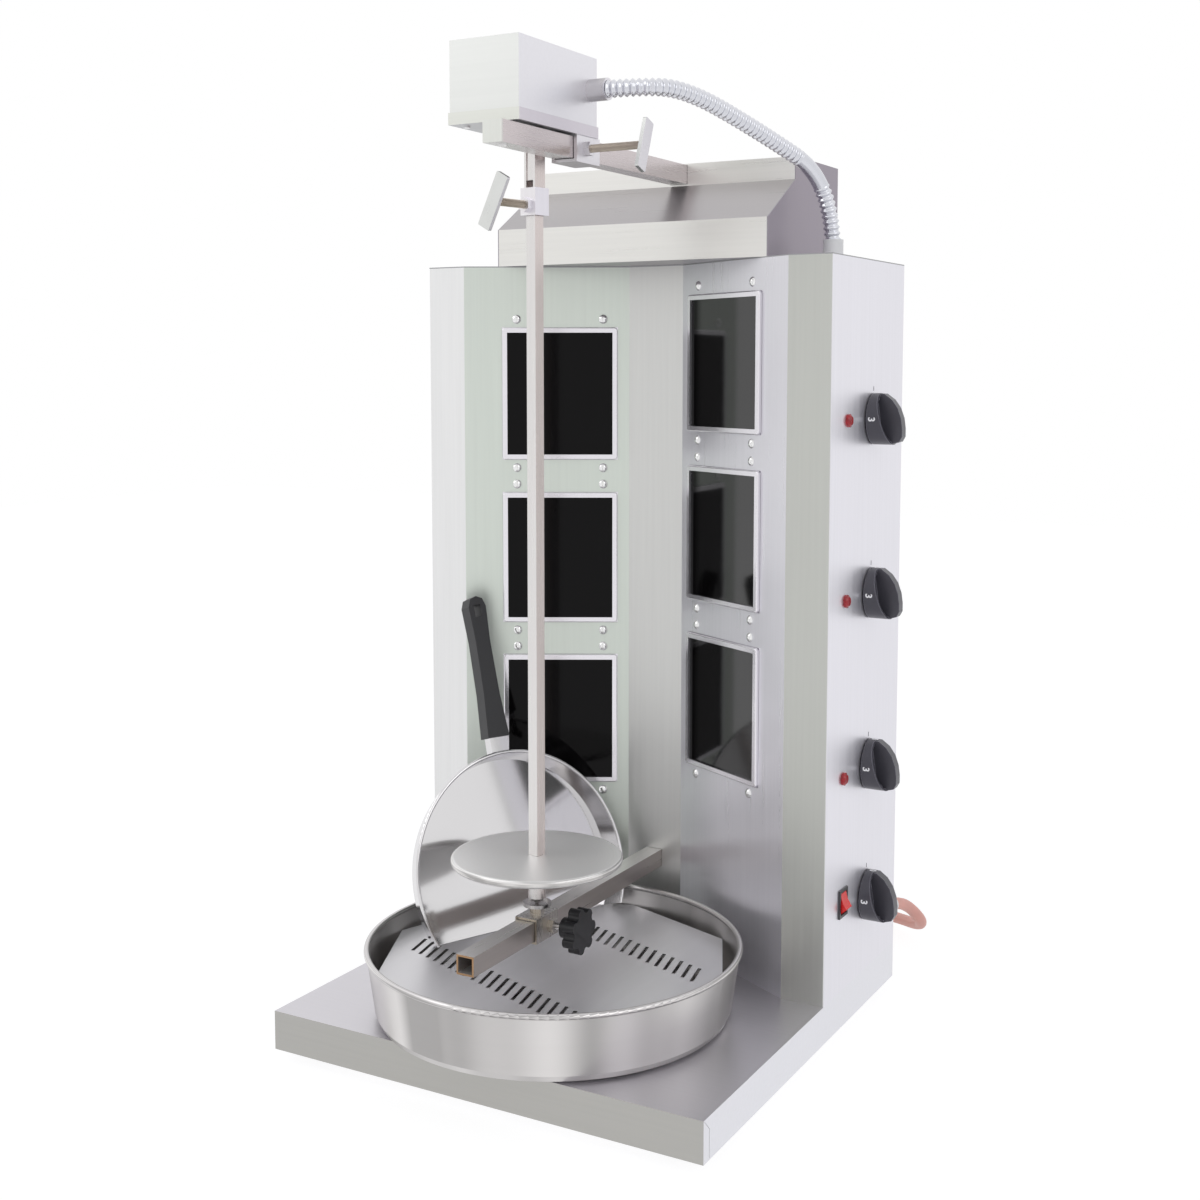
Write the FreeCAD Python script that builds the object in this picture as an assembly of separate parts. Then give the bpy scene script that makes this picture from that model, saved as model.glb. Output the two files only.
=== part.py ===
import FreeCAD, Part
import math
import os

# Electric doner kebab grill in millimetres.
# The floor is z 0, the front is -Y, the control side is +X.
# Y 0 is the plane of the two narrow front strips of the body.

V = FreeCAD.Vector
os.makedirs("parts", exist_ok=True)

# Driving dimensions of the body and base
BODY_WIDTH = 500.0
BODY_DEPTH = 223.5
BASE_DEPTH = 515.0
FOOT_HEIGHT = 12.5
BASE_HEIGHT = 41.5
BODY_HEIGHT = 791.0
STRIP_WIDTH = 48.5
RECESS_DEPTH = 93.0
CENTRE_WIDTH = 69.0
SHEET = 1.2
TRAY_SHEET = 1.5
BEND_RADIUS = 2.0

# Driving dimensions of the hood
HOOD_WIDTH = 337.2
HOOD_LIP_Y = 22.0
HOOD_LIP_HEIGHT = 41.7
HOOD_FOLD_Y = 97.0
HOOD_FOLD_HEIGHT = 88.0
HOOD_HEIGHT = 112.5

# Driving dimensions of the windows and the heater boxes behind them
WINDOW_WIDTH = 134.0
WINDOW_HEIGHT = 153.0
WINDOW_PITCH = 191.2
WINDOW_FROM_CENTRE_FOLD = 80.5
RIGHT_TOP_WINDOW = 679.5
LEFT_TOP_WINDOW = 644.5
BEZEL_PROUD = 4.0
BEZEL_LIP = 6.0
PANE_EDGE = 3.5
PANE_THICKNESS = 3.4
HEATER_DEPTH = 46.0
SCREW_SPREAD = 50.2
SCREW_BEYOND = 9.6
SCREW_RADIUS = 2.0
SCREW_HEAD_RADIUS = 5.2
ELEMENT_RADIUS = 5.0
ELEMENT_STEP = 42.0

# Driving dimensions of the spit drive
SPIT_Y = -170.0
SPIT_SIDE = 12.0
SPIT_TURN = -11.0
HOLDER_WALL = 1.1
COLLAR_WALL = 2.7
COLLAR_HEIGHT = 27.0
DISC_RADIUS = 88.8
DISC_THICKNESS = 8.0
SPIT_FOOT_HEIGHT = 37.0
BOLT_RADIUS = 4.0
NUT_ACROSS = 13.0
NUT_THICKNESS = 6.5

# Driving dimensions of the two arms and the motor head
UPPER_ARM_SIDE = 21.0
UPPER_ARM_X = 26.5
UPPER_ARM_FRONT = -284.5
UPPER_ARM_RISE = 100.5
LOWER_ARM_SIDE = 20.0
LOWER_ARM_FRONT = -302.5
LOWER_ARM_RISE = 100.0
ARM_WALL = 2.0
HEAD_WIDTH = 80.0
HEAD_X = 2.0
HEAD_FRONT = -264.5
HEAD_LENGTH = 149.0
HEAD_HEIGHT = 79.0

# Driving dimensions of the pan, its plate and the scoop
PAN_RADIUS = 199.0
PAN_FLARE = 11.0
PAN_HEIGHT = 73.6
PAN_Y = -136.5
RIM_RADIUS = 3.0
PLATE_INSET = 6.76
PLATE_RISE = 50.0
PLATE_TURN = -20.0
SLOT_ROW = 84.0
SLOT_STEP = 13.5
SLOT_COUNT = 20
SCOOP_SHARE = 0.6734
SCOOP_CENTRE_SHARE = 0.2915
SCOOP_WALL = 24.0
SCOOP_LEAN = 17.5
SCOOP_HEADING = 65.3
SCOOP_LEFT_SHARE = 0.4271
SCOOP_BACK_SHARE = 0.3593

# Driving dimensions of the controls
CONTROL_Y = 127.5
KNOB_RISES = (619.0, 427.5, 235.5, 86.0)
KNOB_RADIUS = 28.0
KNOB_DEPTH = 35.0
KNOB_BACK = 1.5
LAMP_Y = 49.5
LAMP_RADIUS = 7.0
SPINDLE_RADIUS = 3.0
SWITCH_Y = 52.5
SWITCH_RISE = 98.5

# Driving dimensions of the conduit and the supply cord
CONDUIT_RADIUS = 7.6
RIB_RADIUS = 8.6
RIB_STEP = 6.4
LONG_RIBS = 42
SHORT_RIBS = 13
CORD_RADIUS = 7.0
GLAND_X = 234.0
GLAND_RISE = 32.0
GLAND_LENGTH = 36.0

# Named clearances
GAP = 0.3
SLIDE_GAP = 0.6
SPIT_FIT = 0.2
RUN_FIT = 0.06
BOLT_FIT = 0.1
CONDUIT_FIT = 0.1

# Levels that follow from the sizes above
HALF = BODY_WIDTH / 2
BASE_FRONT = BODY_DEPTH - BASE_DEPTH
BASE_TOP = FOOT_HEIGHT + BASE_HEIGHT
BODY_TOP = BASE_TOP + BODY_HEIGHT
PANEL_TOP = BODY_TOP - SHEET
STRIP_IN = HALF - STRIP_WIDTH
CENTRE_HALF = CENTRE_WIDTH / 2
PANEL_RUN = STRIP_IN - CENTRE_HALF
PANEL_LENGTH = math.hypot(PANEL_RUN, RECESS_DEPTH)
PANEL_ANGLE = math.degrees(math.atan2(RECESS_DEPTH, PANEL_RUN))
UPPER_ARM_Z = BODY_TOP + UPPER_ARM_RISE
LOWER_ARM_Z = BASE_TOP + LOWER_ARM_RISE
HEAD_LOW = UPPER_ARM_Z + UPPER_ARM_SIDE / 2 + 2.0
KNOB_Z = [BASE_TOP + rise for rise in KNOB_RISES]
SWITCH_Z = BASE_TOP + SWITCH_RISE
GLAND_Z = BASE_TOP + GLAND_RISE

# Sizes that follow from the spit and from the pan
HOLDER_SIDE = SPIT_SIDE + 2 * SPIT_FIT + 2 * HOLDER_WALL
COLLAR_SIDE = HOLDER_SIDE + 2 * COLLAR_WALL
COLLAR_LOW = HEAD_LOW - 79.0
PAN_BASE_RADIUS = PAN_RADIUS - PAN_FLARE
PLATE_INRADIUS = (PAN_RADIUS - PLATE_INSET) * math.cos(math.radians(22.5))
PLATE_LOW = BASE_TOP + PLATE_RISE
SCOOP_RADIUS = SCOOP_SHARE * PAN_RADIUS
SCOOP_CENTRE = SCOOP_CENTRE_SHARE * PAN_RADIUS
SCOOP_X = -SCOOP_LEFT_SHARE * PAN_RADIUS
SCOOP_Y = PAN_Y + SCOOP_BACK_SHARE * PAN_RADIUS

# The saved files have their origin under the middle of the whole object, cord left out
ORIGIN_X = (KNOB_BACK + KNOB_DEPTH) / 2
ORIGIN_Y = (BODY_DEPTH + GLAND_LENGTH + PAN_Y - PAN_RADIUS) / 2


# Shape helpers


def box(x0, x1, y0, y1, z0, z1):
    return Part.makeBox(x1 - x0, y1 - y0, z1 - z0, V(x0, y0, z0))


def cylinder(radius, length, base, direction=(0, 0, 1)):
    return Part.makeCylinder(radius, length, V(*base), V(*direction))


def prism(points, z0, z1):
    wire = Part.makePolygon([V(x, y, z0) for x, y in points + points[:1]])
    return Part.Face(wire).extrude(V(0, 0, z1 - z0))


def side_prism(points, x0, x1):
    wire = Part.makePolygon([V(x0, y, z) for y, z in points + points[:1]])
    return Part.Face(wire).extrude(V(x1 - x0, 0, 0))


def front_prism(points, y0, y1):
    wire = Part.makePolygon([V(x, y0, z) for x, z in points + points[:1]])
    return Part.Face(wire).extrude(V(0, y1 - y0, 0))


def hexagon(across, thickness, base, direction, bore):
    corners = []
    for i in range(6):
        angle = math.radians(60 * i + 30)
        corners.append((across / math.sqrt(3) * math.cos(angle), across / math.sqrt(3) * math.sin(angle)))
    nut = prism(corners, 0, thickness)
    if bore:
        nut = nut.cut(cylinder(bore, thickness, (0, 0, 0)))
    nut.Placement = FreeCAD.Placement(V(*base), FreeCAD.Rotation(V(0, 0, 1), V(*direction)))
    return nut


def square_tube(side, wall, length):
    # runs along +Y from the origin, centred on the axis
    half = side / 2
    tube = box(-half, half, 0, length, -half, half)
    return tube.cut(box(wall - half, half - wall, 0, length, wall - half, half - wall))


def moved(shape, x, y, z):
    copy = shape.copy()
    copy.translate(V(x, y, z))
    return copy


def turned(shape, angle, centre=(0, 0, 0), axis=(0, 0, 1)):
    copy = shape.copy()
    copy.rotate(V(*centre), V(*axis), angle)
    return copy


def mirrored(shape):
    return shape.mirror(V(0, 0, 0), V(1, 0, 0))


def fused(shapes):
    whole = shapes[0]
    for shape in shapes[1:]:
        whole = whole.fuse(shape)
    return whole.removeSplitter()


def save(name, shapes):
    group = shapes if isinstance(shapes, list) else [shapes]
    solids = []
    for shape in group:
        solids += moved(shape, -ORIGIN_X, -ORIGIN_Y, 0).Solids
    shape = solids[0] if len(solids) == 1 else Part.makeCompound(solids)
    shape.exportStep("parts/" + name + ".step")
    print(name, len(solids), "valid" if shape.isValid() else "BROKEN", round(shape.Volume / 1000, 1), "cm3")


# Base tray: folded sheet with skirts, an inward flange and lapped front corners

FLANGE = 66.0
STUD_RADIUS = 3.0
FOOT_PLACES = []
for foot_x in (-HALF + 40.0, HALF - 40.0):
    for foot_y in (BASE_FRONT + 40.0, BODY_DEPTH - 40.0):
        FOOT_PLACES.append((foot_x, foot_y))


def make_base_tray():
    outer = box(-HALF, HALF, BASE_FRONT, BODY_DEPTH, FOOT_HEIGHT, BASE_TOP)
    inside = HALF - TRAY_SHEET
    inner = box(-inside, inside, BASE_FRONT + TRAY_SHEET, BODY_DEPTH - TRAY_SHEET,
                FOOT_HEIGHT + TRAY_SHEET, BASE_TOP - TRAY_SHEET)
    window = box(-HALF + FLANGE, HALF - FLANGE, BASE_FRONT + FLANGE, BODY_DEPTH - FLANGE,
                 FOOT_HEIGHT, FOOT_HEIGHT + TRAY_SHEET)
    tray = outer.cut(inner).cut(window)
    # a fine slit shows where each side skirt laps the front one
    lap = 12.0
    slit = 0.5
    seam = BASE_FRONT + lap
    low = FOOT_HEIGHT + TRAY_SHEET
    high = BASE_TOP - TRAY_SHEET
    path = [(BASE_FRONT + TRAY_SHEET, high), (seam, BASE_TOP - lap), (seam, low), (seam + slit, low),
            (seam + slit, BASE_TOP - lap), (BASE_FRONT + TRAY_SHEET + slit, high)]
    for side in (-HALF, HALF - TRAY_SHEET):
        tray = tray.cut(side_prism(path, side, side + TRAY_SHEET))
    for x, y in FOOT_PLACES:
        tray = tray.cut(cylinder(STUD_RADIUS + GAP, TRAY_SHEET, (x, y, FOOT_HEIGHT)))
    return tray


def make_feet():
    # rubber feet whose headed studs push through the flange
    feet = []
    for x, y in FOOT_PLACES:
        foot = Part.makeCone(11.0, 13.5, FOOT_HEIGHT, V(x, y, 0))
        stud = cylinder(STUD_RADIUS, TRAY_SHEET + GAP + 3, (x, y, FOOT_HEIGHT))
        head = Part.makeCone(STUD_RADIUS + 1.6, STUD_RADIUS, 3, V(x, y, FOOT_HEIGHT + TRAY_SHEET + GAP))
        feet.append(fused([foot, stud, head]))
    return feet


# Body panels: two side panels with a front strip, two heater panels, a centre panel, back and top


def make_side_panel():
    plate = box(HALF - SHEET, HALF, 0, BODY_DEPTH, BASE_TOP, PANEL_TOP)
    strip = box(STRIP_IN, HALF, 0, SHEET, BASE_TOP, PANEL_TOP)
    panel = plate.fuse(strip).removeSplitter()
    outer = [e for e in panel.Edges if e.BoundBox.ZLength > BODY_HEIGHT / 2
             and abs(e.BoundBox.XMin - HALF) < 0.01 and abs(e.BoundBox.YMin) < 0.01]
    return panel.makeFillet(BEND_RADIUS - 0.9, outer)


LAP = 12.0
BACK_SHIFT = SHEET / math.cos(math.radians(PANEL_ANGLE))
SLOPE = RECESS_DEPTH / PANEL_RUN


def heater_panel_outline():
    # right side, seen from above: strip lap, sloping face, lap behind the centre panel
    def back_x(y):
        return STRIP_IN - (y - BACK_SHIFT) / SLOPE
    low = 2 * SHEET
    high = RECESS_DEPTH + 2 * SHEET
    return [(STRIP_IN, 0), (STRIP_IN, SHEET), (STRIP_IN + LAP, SHEET), (STRIP_IN + LAP, low),
            (back_x(low), low), (back_x(high), high), (CENTRE_HALF - LAP, high),
            (CENTRE_HALF - LAP, RECESS_DEPTH + SHEET), (CENTRE_HALF, RECESS_DEPTH + SHEET),
            (CENTRE_HALF, RECESS_DEPTH)]


def on_heater_panel(shape):
    # local x runs outward along the panel from the centre fold, y runs back, z is up
    copy = shape.copy()
    copy.rotate(V(0, 0, 0), V(0, 0, 1), -PANEL_ANGLE)
    copy.translate(V(CENTRE_HALF, RECESS_DEPTH, 0))
    return copy


def window_levels(top):
    return [BASE_TOP + top - WINDOW_PITCH * i for i in range(3)]


def screw_places(level):
    places = []
    for dx in (-SCREW_SPREAD, SCREW_SPREAD):
        for dz in (-1, 1):
            places.append((WINDOW_FROM_CENTRE_FOLD + dx, level + dz * (WINDOW_HEIGHT / 2 + SCREW_BEYOND)))
    return places


def rectangle(width, height, y0, y1, level):
    x = WINDOW_FROM_CENTRE_FOLD
    return box(x - width / 2, x + width / 2, y0, y1, level - height / 2, level + height / 2)


def make_heater_panel(top):
    panel = prism(heater_panel_outline(), BASE_TOP, PANEL_TOP)
    for level in window_levels(top):
        cut = rectangle(WINDOW_WIDTH + 2 * GAP, WINDOW_HEIGHT + 2 * GAP, -5, 5, level)
        panel = panel.cut(on_heater_panel(cut))
        for x, z in screw_places(level):
            panel = panel.cut(on_heater_panel(cylinder(SCREW_RADIUS + GAP, 10, (x, -5, z), (0, 1, 0))))
    return panel


FLANGE_WIDTH = 150.0
FLANGE_HEIGHT = 186.0


def make_bezel(level):
    ring = rectangle(WINDOW_WIDTH, WINDOW_HEIGHT, -BEZEL_PROUD, SHEET, level)
    upright = [e for e in ring.Edges if e.BoundBox.YLength > BEZEL_PROUD and e.BoundBox.ZLength < 0.1]
    ring = ring.makeFillet(4.0, upright)
    front = [e for e in ring.Edges if e.BoundBox.YMax < -BEZEL_PROUD + 0.01]
    ring = ring.makeFillet(1.6, front)
    flange = rectangle(FLANGE_WIDTH, FLANGE_HEIGHT, SHEET, 2 * SHEET, level)
    bezel = ring.fuse(flange)
    opening = rectangle(WINDOW_WIDTH - 2 * BEZEL_LIP, WINDOW_HEIGHT - 2 * BEZEL_LIP, -10, 10, level)
    rebate = rectangle(WINDOW_WIDTH - 2 * PANE_EDGE, WINDOW_HEIGHT - 2 * PANE_EDGE,
                       2 * SHEET - PANE_THICKNESS, 10, level)
    bezel = bezel.cut(opening).cut(rebate)
    for x, z in screw_places(level):
        bezel = bezel.cut(cylinder(SCREW_RADIUS + GAP, 10, (x, -5, z), (0, 1, 0)))
    return on_heater_panel(bezel)


def make_pane(level):
    pane = rectangle(WINDOW_WIDTH - 2 * PANE_EDGE - 2 * GAP, WINDOW_HEIGHT - 2 * PANE_EDGE - 2 * GAP,
                     2 * SHEET - PANE_THICKNESS, 2 * SHEET, level)
    return on_heater_panel(pane)


HEATER_WIDTH = 118.0
HEATER_HEIGHT = 138.0
FLANGE_BACK = 3 * SHEET


def make_heater_box(level):
    flange = rectangle(FLANGE_WIDTH, FLANGE_HEIGHT, 2 * SHEET, FLANGE_BACK, level)
    shell = rectangle(HEATER_WIDTH + 2 * SHEET, HEATER_HEIGHT + 2 * SHEET, FLANGE_BACK, HEATER_DEPTH, level)
    hollow = rectangle(HEATER_WIDTH, HEATER_HEIGHT, 0, HEATER_DEPTH - SHEET, level)
    tray = flange.fuse(shell).cut(hollow)
    for x, z in screw_places(level):
        tray = tray.cut(cylinder(SCREW_RADIUS + GAP, 10, (x, 0, z), (0, 1, 0)))
    return on_heater_panel(tray)


HOLDER_BLOCK = 8.0


def make_heater_elements(level):
    tubes = []
    blocks = []
    half = HOLDER_BLOCK
    y = HEATER_DEPTH / 2
    start = WINDOW_FROM_CENTRE_FOLD - HEATER_WIDTH / 2
    for i in (-1, 0, 1):
        z = level + ELEMENT_STEP * i
        tube_start = (start + HOLDER_BLOCK / 2, y, z)
        tube = cylinder(ELEMENT_RADIUS, HEATER_WIDTH - HOLDER_BLOCK, tube_start, (1, 0, 0))
        tubes.append(on_heater_panel(tube))
        for end in (start, start + HEATER_WIDTH - HOLDER_BLOCK):
            block = box(end, end + HOLDER_BLOCK, y - half, y + half, z - half, z + half)
            blocks.append(on_heater_panel(block.cut(tube)))
    return tubes, blocks


def make_window_screws(level):
    screws = []
    for x, z in screw_places(level):
        head = Part.makeSphere(SCREW_HEAD_RADIUS + 1.2, V(x, 0, z))
        head.translate(V(0, 3.2, 0))
        head = head.common(cylinder(SCREW_HEAD_RADIUS, 20, (x, -20, z), (0, 1, 0)))
        shank = cylinder(SCREW_RADIUS, 9.0, (x, 0, z), (0, 1, 0))
        screws.append(on_heater_panel(head.fuse(shank)))
    return screws


def make_centre_panel():
    panel = box(-CENTRE_HALF, CENTRE_HALF, RECESS_DEPTH, RECESS_DEPTH + SHEET, BASE_TOP, PANEL_TOP)
    half = LOWER_ARM_SIDE / 2 + GAP
    return panel.cut(box(-half, half, 0, 200, LOWER_ARM_Z - half, LOWER_ARM_Z + half))


VENT_ROWS = 10
BUSH_RADIUS = 8.0


def make_back_panel():
    inner = HALF - SHEET
    panel = box(-inner, inner, BODY_DEPTH - SHEET, BODY_DEPTH, BASE_TOP, PANEL_TOP)
    panel = panel.cut(cylinder(BUSH_RADIUS + GAP, 20, (GLAND_X, BODY_DEPTH - 10, GLAND_Z), (0, 1, 0)))
    for row in range(VENT_ROWS):
        z = BASE_TOP + 560 + 16 * row
        for x in (-120, 0, 120):
            panel = panel.cut(box(x - 40, x + 40, 200, 240, z, z + 5))
    return panel


CONDUIT_X = 207.5
CONDUIT_Y = 110.5
CONDUIT_BORE = RIB_RADIUS + 0.4
FITTING_BORE = RIB_RADIUS + CONDUIT_FIT


def make_top_plate():
    half = HALF
    outline = [(-half, 0), (-STRIP_IN, 0), (-CENTRE_HALF, RECESS_DEPTH), (CENTRE_HALF, RECESS_DEPTH),
               (STRIP_IN, 0), (half, 0), (half, BODY_DEPTH), (-half, BODY_DEPTH)]
    plate = prism(outline, PANEL_TOP, BODY_TOP)
    return plate.cut(cylinder(CONDUIT_BORE, 10, (CONDUIT_X, CONDUIT_Y, BODY_TOP - 5)))


# Hood on the top of the body, which the upper arm comes out of


def hood_points(inset):
    # the outline of the hood seen from the side, drawn inward by inset
    dy = HOOD_FOLD_Y - HOOD_LIP_Y
    dz = HOOD_FOLD_HEIGHT - HOOD_LIP_HEIGHT
    length = math.hypot(dy, dz)
    drop = inset * (length - dz) / dy
    return [(HOOD_LIP_Y + inset, BODY_TOP + inset),
            (HOOD_LIP_Y + inset, BODY_TOP + HOOD_LIP_HEIGHT - drop),
            (HOOD_FOLD_Y + inset, BODY_TOP + HOOD_FOLD_HEIGHT - drop),
            (HOOD_FOLD_Y + inset, BODY_TOP + HOOD_HEIGHT - inset),
            (BODY_DEPTH - inset, BODY_TOP + HOOD_HEIGHT - inset), (BODY_DEPTH - inset, BODY_TOP + inset)]


def make_hood_shell():
    inner = HOOD_WIDTH / 2 - SHEET
    shell = side_prism(hood_points(0), -inner, inner).cut(side_prism(hood_points(SHEET), -inner, inner))
    shell = shell.cut(box(-inner, inner, RECESS_DEPTH + 30, BODY_DEPTH - 20, BODY_TOP, BODY_TOP + SHEET))
    half = UPPER_ARM_SIDE / 2 + GAP
    hole = box(-half, half, HOOD_LIP_Y, BODY_DEPTH - 20, -half, half)
    return shell.cut(moved(hole, UPPER_ARM_X, 0, UPPER_ARM_Z))


def make_hood_end():
    outer = HOOD_WIDTH / 2
    return side_prism(hood_points(0), outer - SHEET, outer)


# Upper arm and what holds it

STOP_SCREW = 16.0

def make_upper_arm():
    length = BODY_DEPTH - 10 - UPPER_ARM_FRONT
    tube = square_tube(UPPER_ARM_SIDE, ARM_WALL, length)
    tube = tube.cut(cylinder(1.6, UPPER_ARM_SIDE / 2, (0, STOP_SCREW, -UPPER_ARM_SIDE / 2 - 1)))
    return moved(tube, UPPER_ARM_X, UPPER_ARM_FRONT, UPPER_ARM_Z)


def make_arm_cap():
    half = UPPER_ARM_SIDE / 2
    inner = half - ARM_WALL
    head = box(-half, half, -2.5, 0, -half, half)
    stem = box(-inner, inner, 0, 10, -inner, inner)
    return moved(head.fuse(stem), UPPER_ARM_X, UPPER_ARM_FRONT, UPPER_ARM_Z)


def make_post(x, y, low, high):
    # a bent sheet foot that carries the closed end of an arm
    web = box(x - 15, x + 15, y, y + 3, low, high)
    foot = box(x - 15, x + 15, y - 25, y + 3, low, low + 3)
    saddle = box(x - 15, x + 15, y - 25, y + 3, high - 3, high)
    return fused([web, foot, saddle])


# Lower arm


def make_lower_arm():
    length = 180.0 - LOWER_ARM_FRONT
    return moved(square_tube(LOWER_ARM_SIDE, ARM_WALL, length), 0, LOWER_ARM_FRONT, LOWER_ARM_Z)


# Motor head


HEAD_BACK = HEAD_FRONT + HEAD_LENGTH
HEAD_TOP = HEAD_LOW + HEAD_HEIGHT
HEAD_LEFT = HEAD_X - HEAD_WIDTH / 2
HEAD_RIGHT = HEAD_X + HEAD_WIDTH / 2
HEAD_RIM = 11.5
HEAD_FLOOR = 2.0
SHAFT_RADIUS = 6.0
TRAY_SCREWS = (HEAD_FRONT + 14, HEAD_BACK - 14)
CONDUIT_EXIT_Y = -129.0
CONDUIT_EXIT_Z = HEAD_LOW + 46.0


def make_motor_tray():
    outer = box(HEAD_LEFT, HEAD_RIGHT, HEAD_FRONT, HEAD_BACK, HEAD_LOW, HEAD_LOW + HEAD_RIM)
    inner = box(HEAD_LEFT + SHEET, HEAD_RIGHT - SHEET, HEAD_FRONT + SHEET, HEAD_BACK - SHEET,
                HEAD_LOW + HEAD_FLOOR, HEAD_TOP)
    tray = outer.cut(inner)
    for y in TRAY_SCREWS:
        tray = tray.cut(cylinder(1.5, 10, (HEAD_LEFT + 12, y, HEAD_LOW - 1)))
    return tray.cut(cylinder(SHAFT_RADIUS + 0.5, 10, (0, SPIT_Y, HEAD_LOW - 1)))


def make_motor_cover():
    left = HEAD_LEFT + SHEET
    right = HEAD_RIGHT - SHEET
    front = HEAD_FRONT + SHEET
    back = HEAD_BACK - SHEET
    outer = box(left, right, front, back, HEAD_LOW + HEAD_FLOOR, HEAD_TOP)
    inner = box(left + SHEET, right - SHEET, front + SHEET, back - SHEET, HEAD_LOW, HEAD_TOP - SHEET)
    cover = outer.cut(inner)
    return cover.cut(cylinder(CONDUIT_BORE, 10, (right - 5, CONDUIT_EXIT_Y, CONDUIT_EXIT_Z), (1, 0, 0)))


GEARCASE_LOW = HEAD_LOW + HEAD_FLOOR
GEARCASE_HIGH = GEARCASE_LOW + 28.0
GEAR_RADIUS = 16.0
PINION_RADIUS = 5.0
PINION_Y = SPIT_Y + GEAR_RADIUS + PINION_RADIUS + GAP
CASE_FLOOR = 3.0
GEAR_LOW = GEARCASE_LOW + CASE_FLOOR + GAP
PINION_SHAFT = 2.5


def make_gearcase():
    outer = box(-24, 24, SPIT_Y - 22, SPIT_Y + 42, GEARCASE_LOW, GEARCASE_HIGH)
    inner = box(-22, 22, SPIT_Y - 20, SPIT_Y + 40, GEARCASE_LOW + CASE_FLOOR, GEARCASE_HIGH - 2)
    case = outer.cut(inner)
    case = case.cut(cylinder(SHAFT_RADIUS + RUN_FIT, 8, (0, SPIT_Y, GEARCASE_LOW - 1)))
    return case.cut(cylinder(PINION_SHAFT + RUN_FIT, 8, (0, PINION_Y, GEARCASE_HIGH - 4)))


def make_motor():
    can = cylinder(24.0, 34.0, (0, PINION_Y, GEARCASE_HIGH))
    return can.cut(cylinder(PINION_SHAFT + RUN_FIT, 20, (0, PINION_Y, GEARCASE_HIGH - 1)))


def make_pinion():
    gear = cylinder(PINION_RADIUS, 8, (0, PINION_Y, GEAR_LOW))
    shaft = cylinder(PINION_SHAFT, 40, (0, PINION_Y, GEAR_LOW))
    return gear.fuse(shaft)


SLEEVE_FRONT = -157.0
SLEEVE_LENGTH = 46.0
SLEEVE_OUT = 29.0
SLEEVE_LOW = UPPER_ARM_Z - UPPER_ARM_SIDE / 2 - 3.5
CLAMP_Y = -138.0


def make_head_sleeve():
    half = SLEEVE_OUT / 2
    block = box(UPPER_ARM_X - half, UPPER_ARM_X + half, SLEEVE_FRONT, SLEEVE_FRONT + SLEEVE_LENGTH,
                SLEEVE_LOW, HEAD_LOW)
    inner = UPPER_ARM_SIDE / 2 + SLIDE_GAP
    hollow = moved(box(-inner, inner, -200, -50, -inner, inner), UPPER_ARM_X, 0, UPPER_ARM_Z)
    nut = hexagon(NUT_ACROSS, NUT_THICKNESS, (UPPER_ARM_X + half, CLAMP_Y, UPPER_ARM_Z), (1, 0, 0), 0)
    sleeve = block.cut(hollow).fuse(nut)
    return sleeve.cut(cylinder(BOLT_RADIUS + BOLT_FIT, 30, (UPPER_ARM_X, CLAMP_Y, UPPER_ARM_Z), (1, 0, 0)))


def make_clamp_bolt(tip, end, bar_length, bar_turn):
    # along +X from the clamped tube, with a flat bar welded across its outer end
    bolt = cylinder(BOLT_RADIUS, end - tip, (tip, 0, 0), (1, 0, 0))
    bar = box(end, end + 4, -8, 8, -bar_length / 2, bar_length / 2)
    upright = [e for e in bar.Edges if e.BoundBox.XLength > 3.9]
    bar = bar.makeFillet(1.5, upright)
    bar = turned(bar, bar_turn, (0, 0, 0), (1, 0, 0))
    return bolt.fuse(bar)


CLAMP_BAR = 52.0
CLAMP_LENGTH = 63.0


def make_upper_clamp():
    tip = UPPER_ARM_SIDE / 2 + GAP
    face = SLEEVE_OUT / 2
    screw = make_clamp_bolt(tip, face + CLAMP_LENGTH, CLAMP_BAR, -20.0)
    return moved(screw, UPPER_ARM_X, CLAMP_Y, UPPER_ARM_Z)


def make_head_fitting():
    # smooth sleeve on the right face of the head that the conduit goes into
    x = HEAD_RIGHT - SHEET
    collar = cylinder(11.0, 19.0 + SHEET, (x, CONDUIT_EXIT_Y, CONDUIT_EXIT_Z), (1, 0, 0))
    return collar.cut(cylinder(FITTING_BORE, 40, (x - 5, CONDUIT_EXIT_Y, CONDUIT_EXIT_Z), (1, 0, 0)))


# Spindle: drive shaft, slotted holder, collar with its clamp, spit, disc


HOLDER_TOP = HEAD_LOW - 0.6
HOLDER_BOTTOM = COLLAR_LOW + 3.0
SHAFT_SQUARE_LOW = HOLDER_TOP - 43.9
SPIT_TOP = COLLAR_LOW + 25.0
SPIT_FOOT_RADIUS = 9.0
SLIDE_OUT = 25.6
SLIDE_TOP = LOWER_ARM_Z + SLIDE_OUT / 2
CUP_LOW = SLIDE_TOP + 7.7
CUP_FLOOR = 1.5
SPIT_TIP = CUP_LOW + CUP_FLOOR + GAP
SPIT_FOOT_LOW = CUP_LOW + 8.5
DISC_LOW = SPIT_FOOT_LOW + SPIT_FOOT_HEIGHT


def spun(shape):
    return moved(turned(shape, SPIT_TURN), 0, SPIT_Y, 0)


def square_bar(side, z0, z1):
    half = side / 2
    return box(-half, half, -half, half, z0, z1)


def make_drive_shaft():
    square = square_bar(HOLDER_SIDE - 2 * HOLDER_WALL, SHAFT_SQUARE_LOW, HOLDER_TOP)
    shaft = cylinder(SHAFT_RADIUS, GEAR_LOW + 6 - HOLDER_TOP, (0, 0, HOLDER_TOP))
    gear = cylinder(GEAR_RADIUS, 6, (0, 0, GEAR_LOW))
    return spun(fused([square, shaft, gear]))


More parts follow.
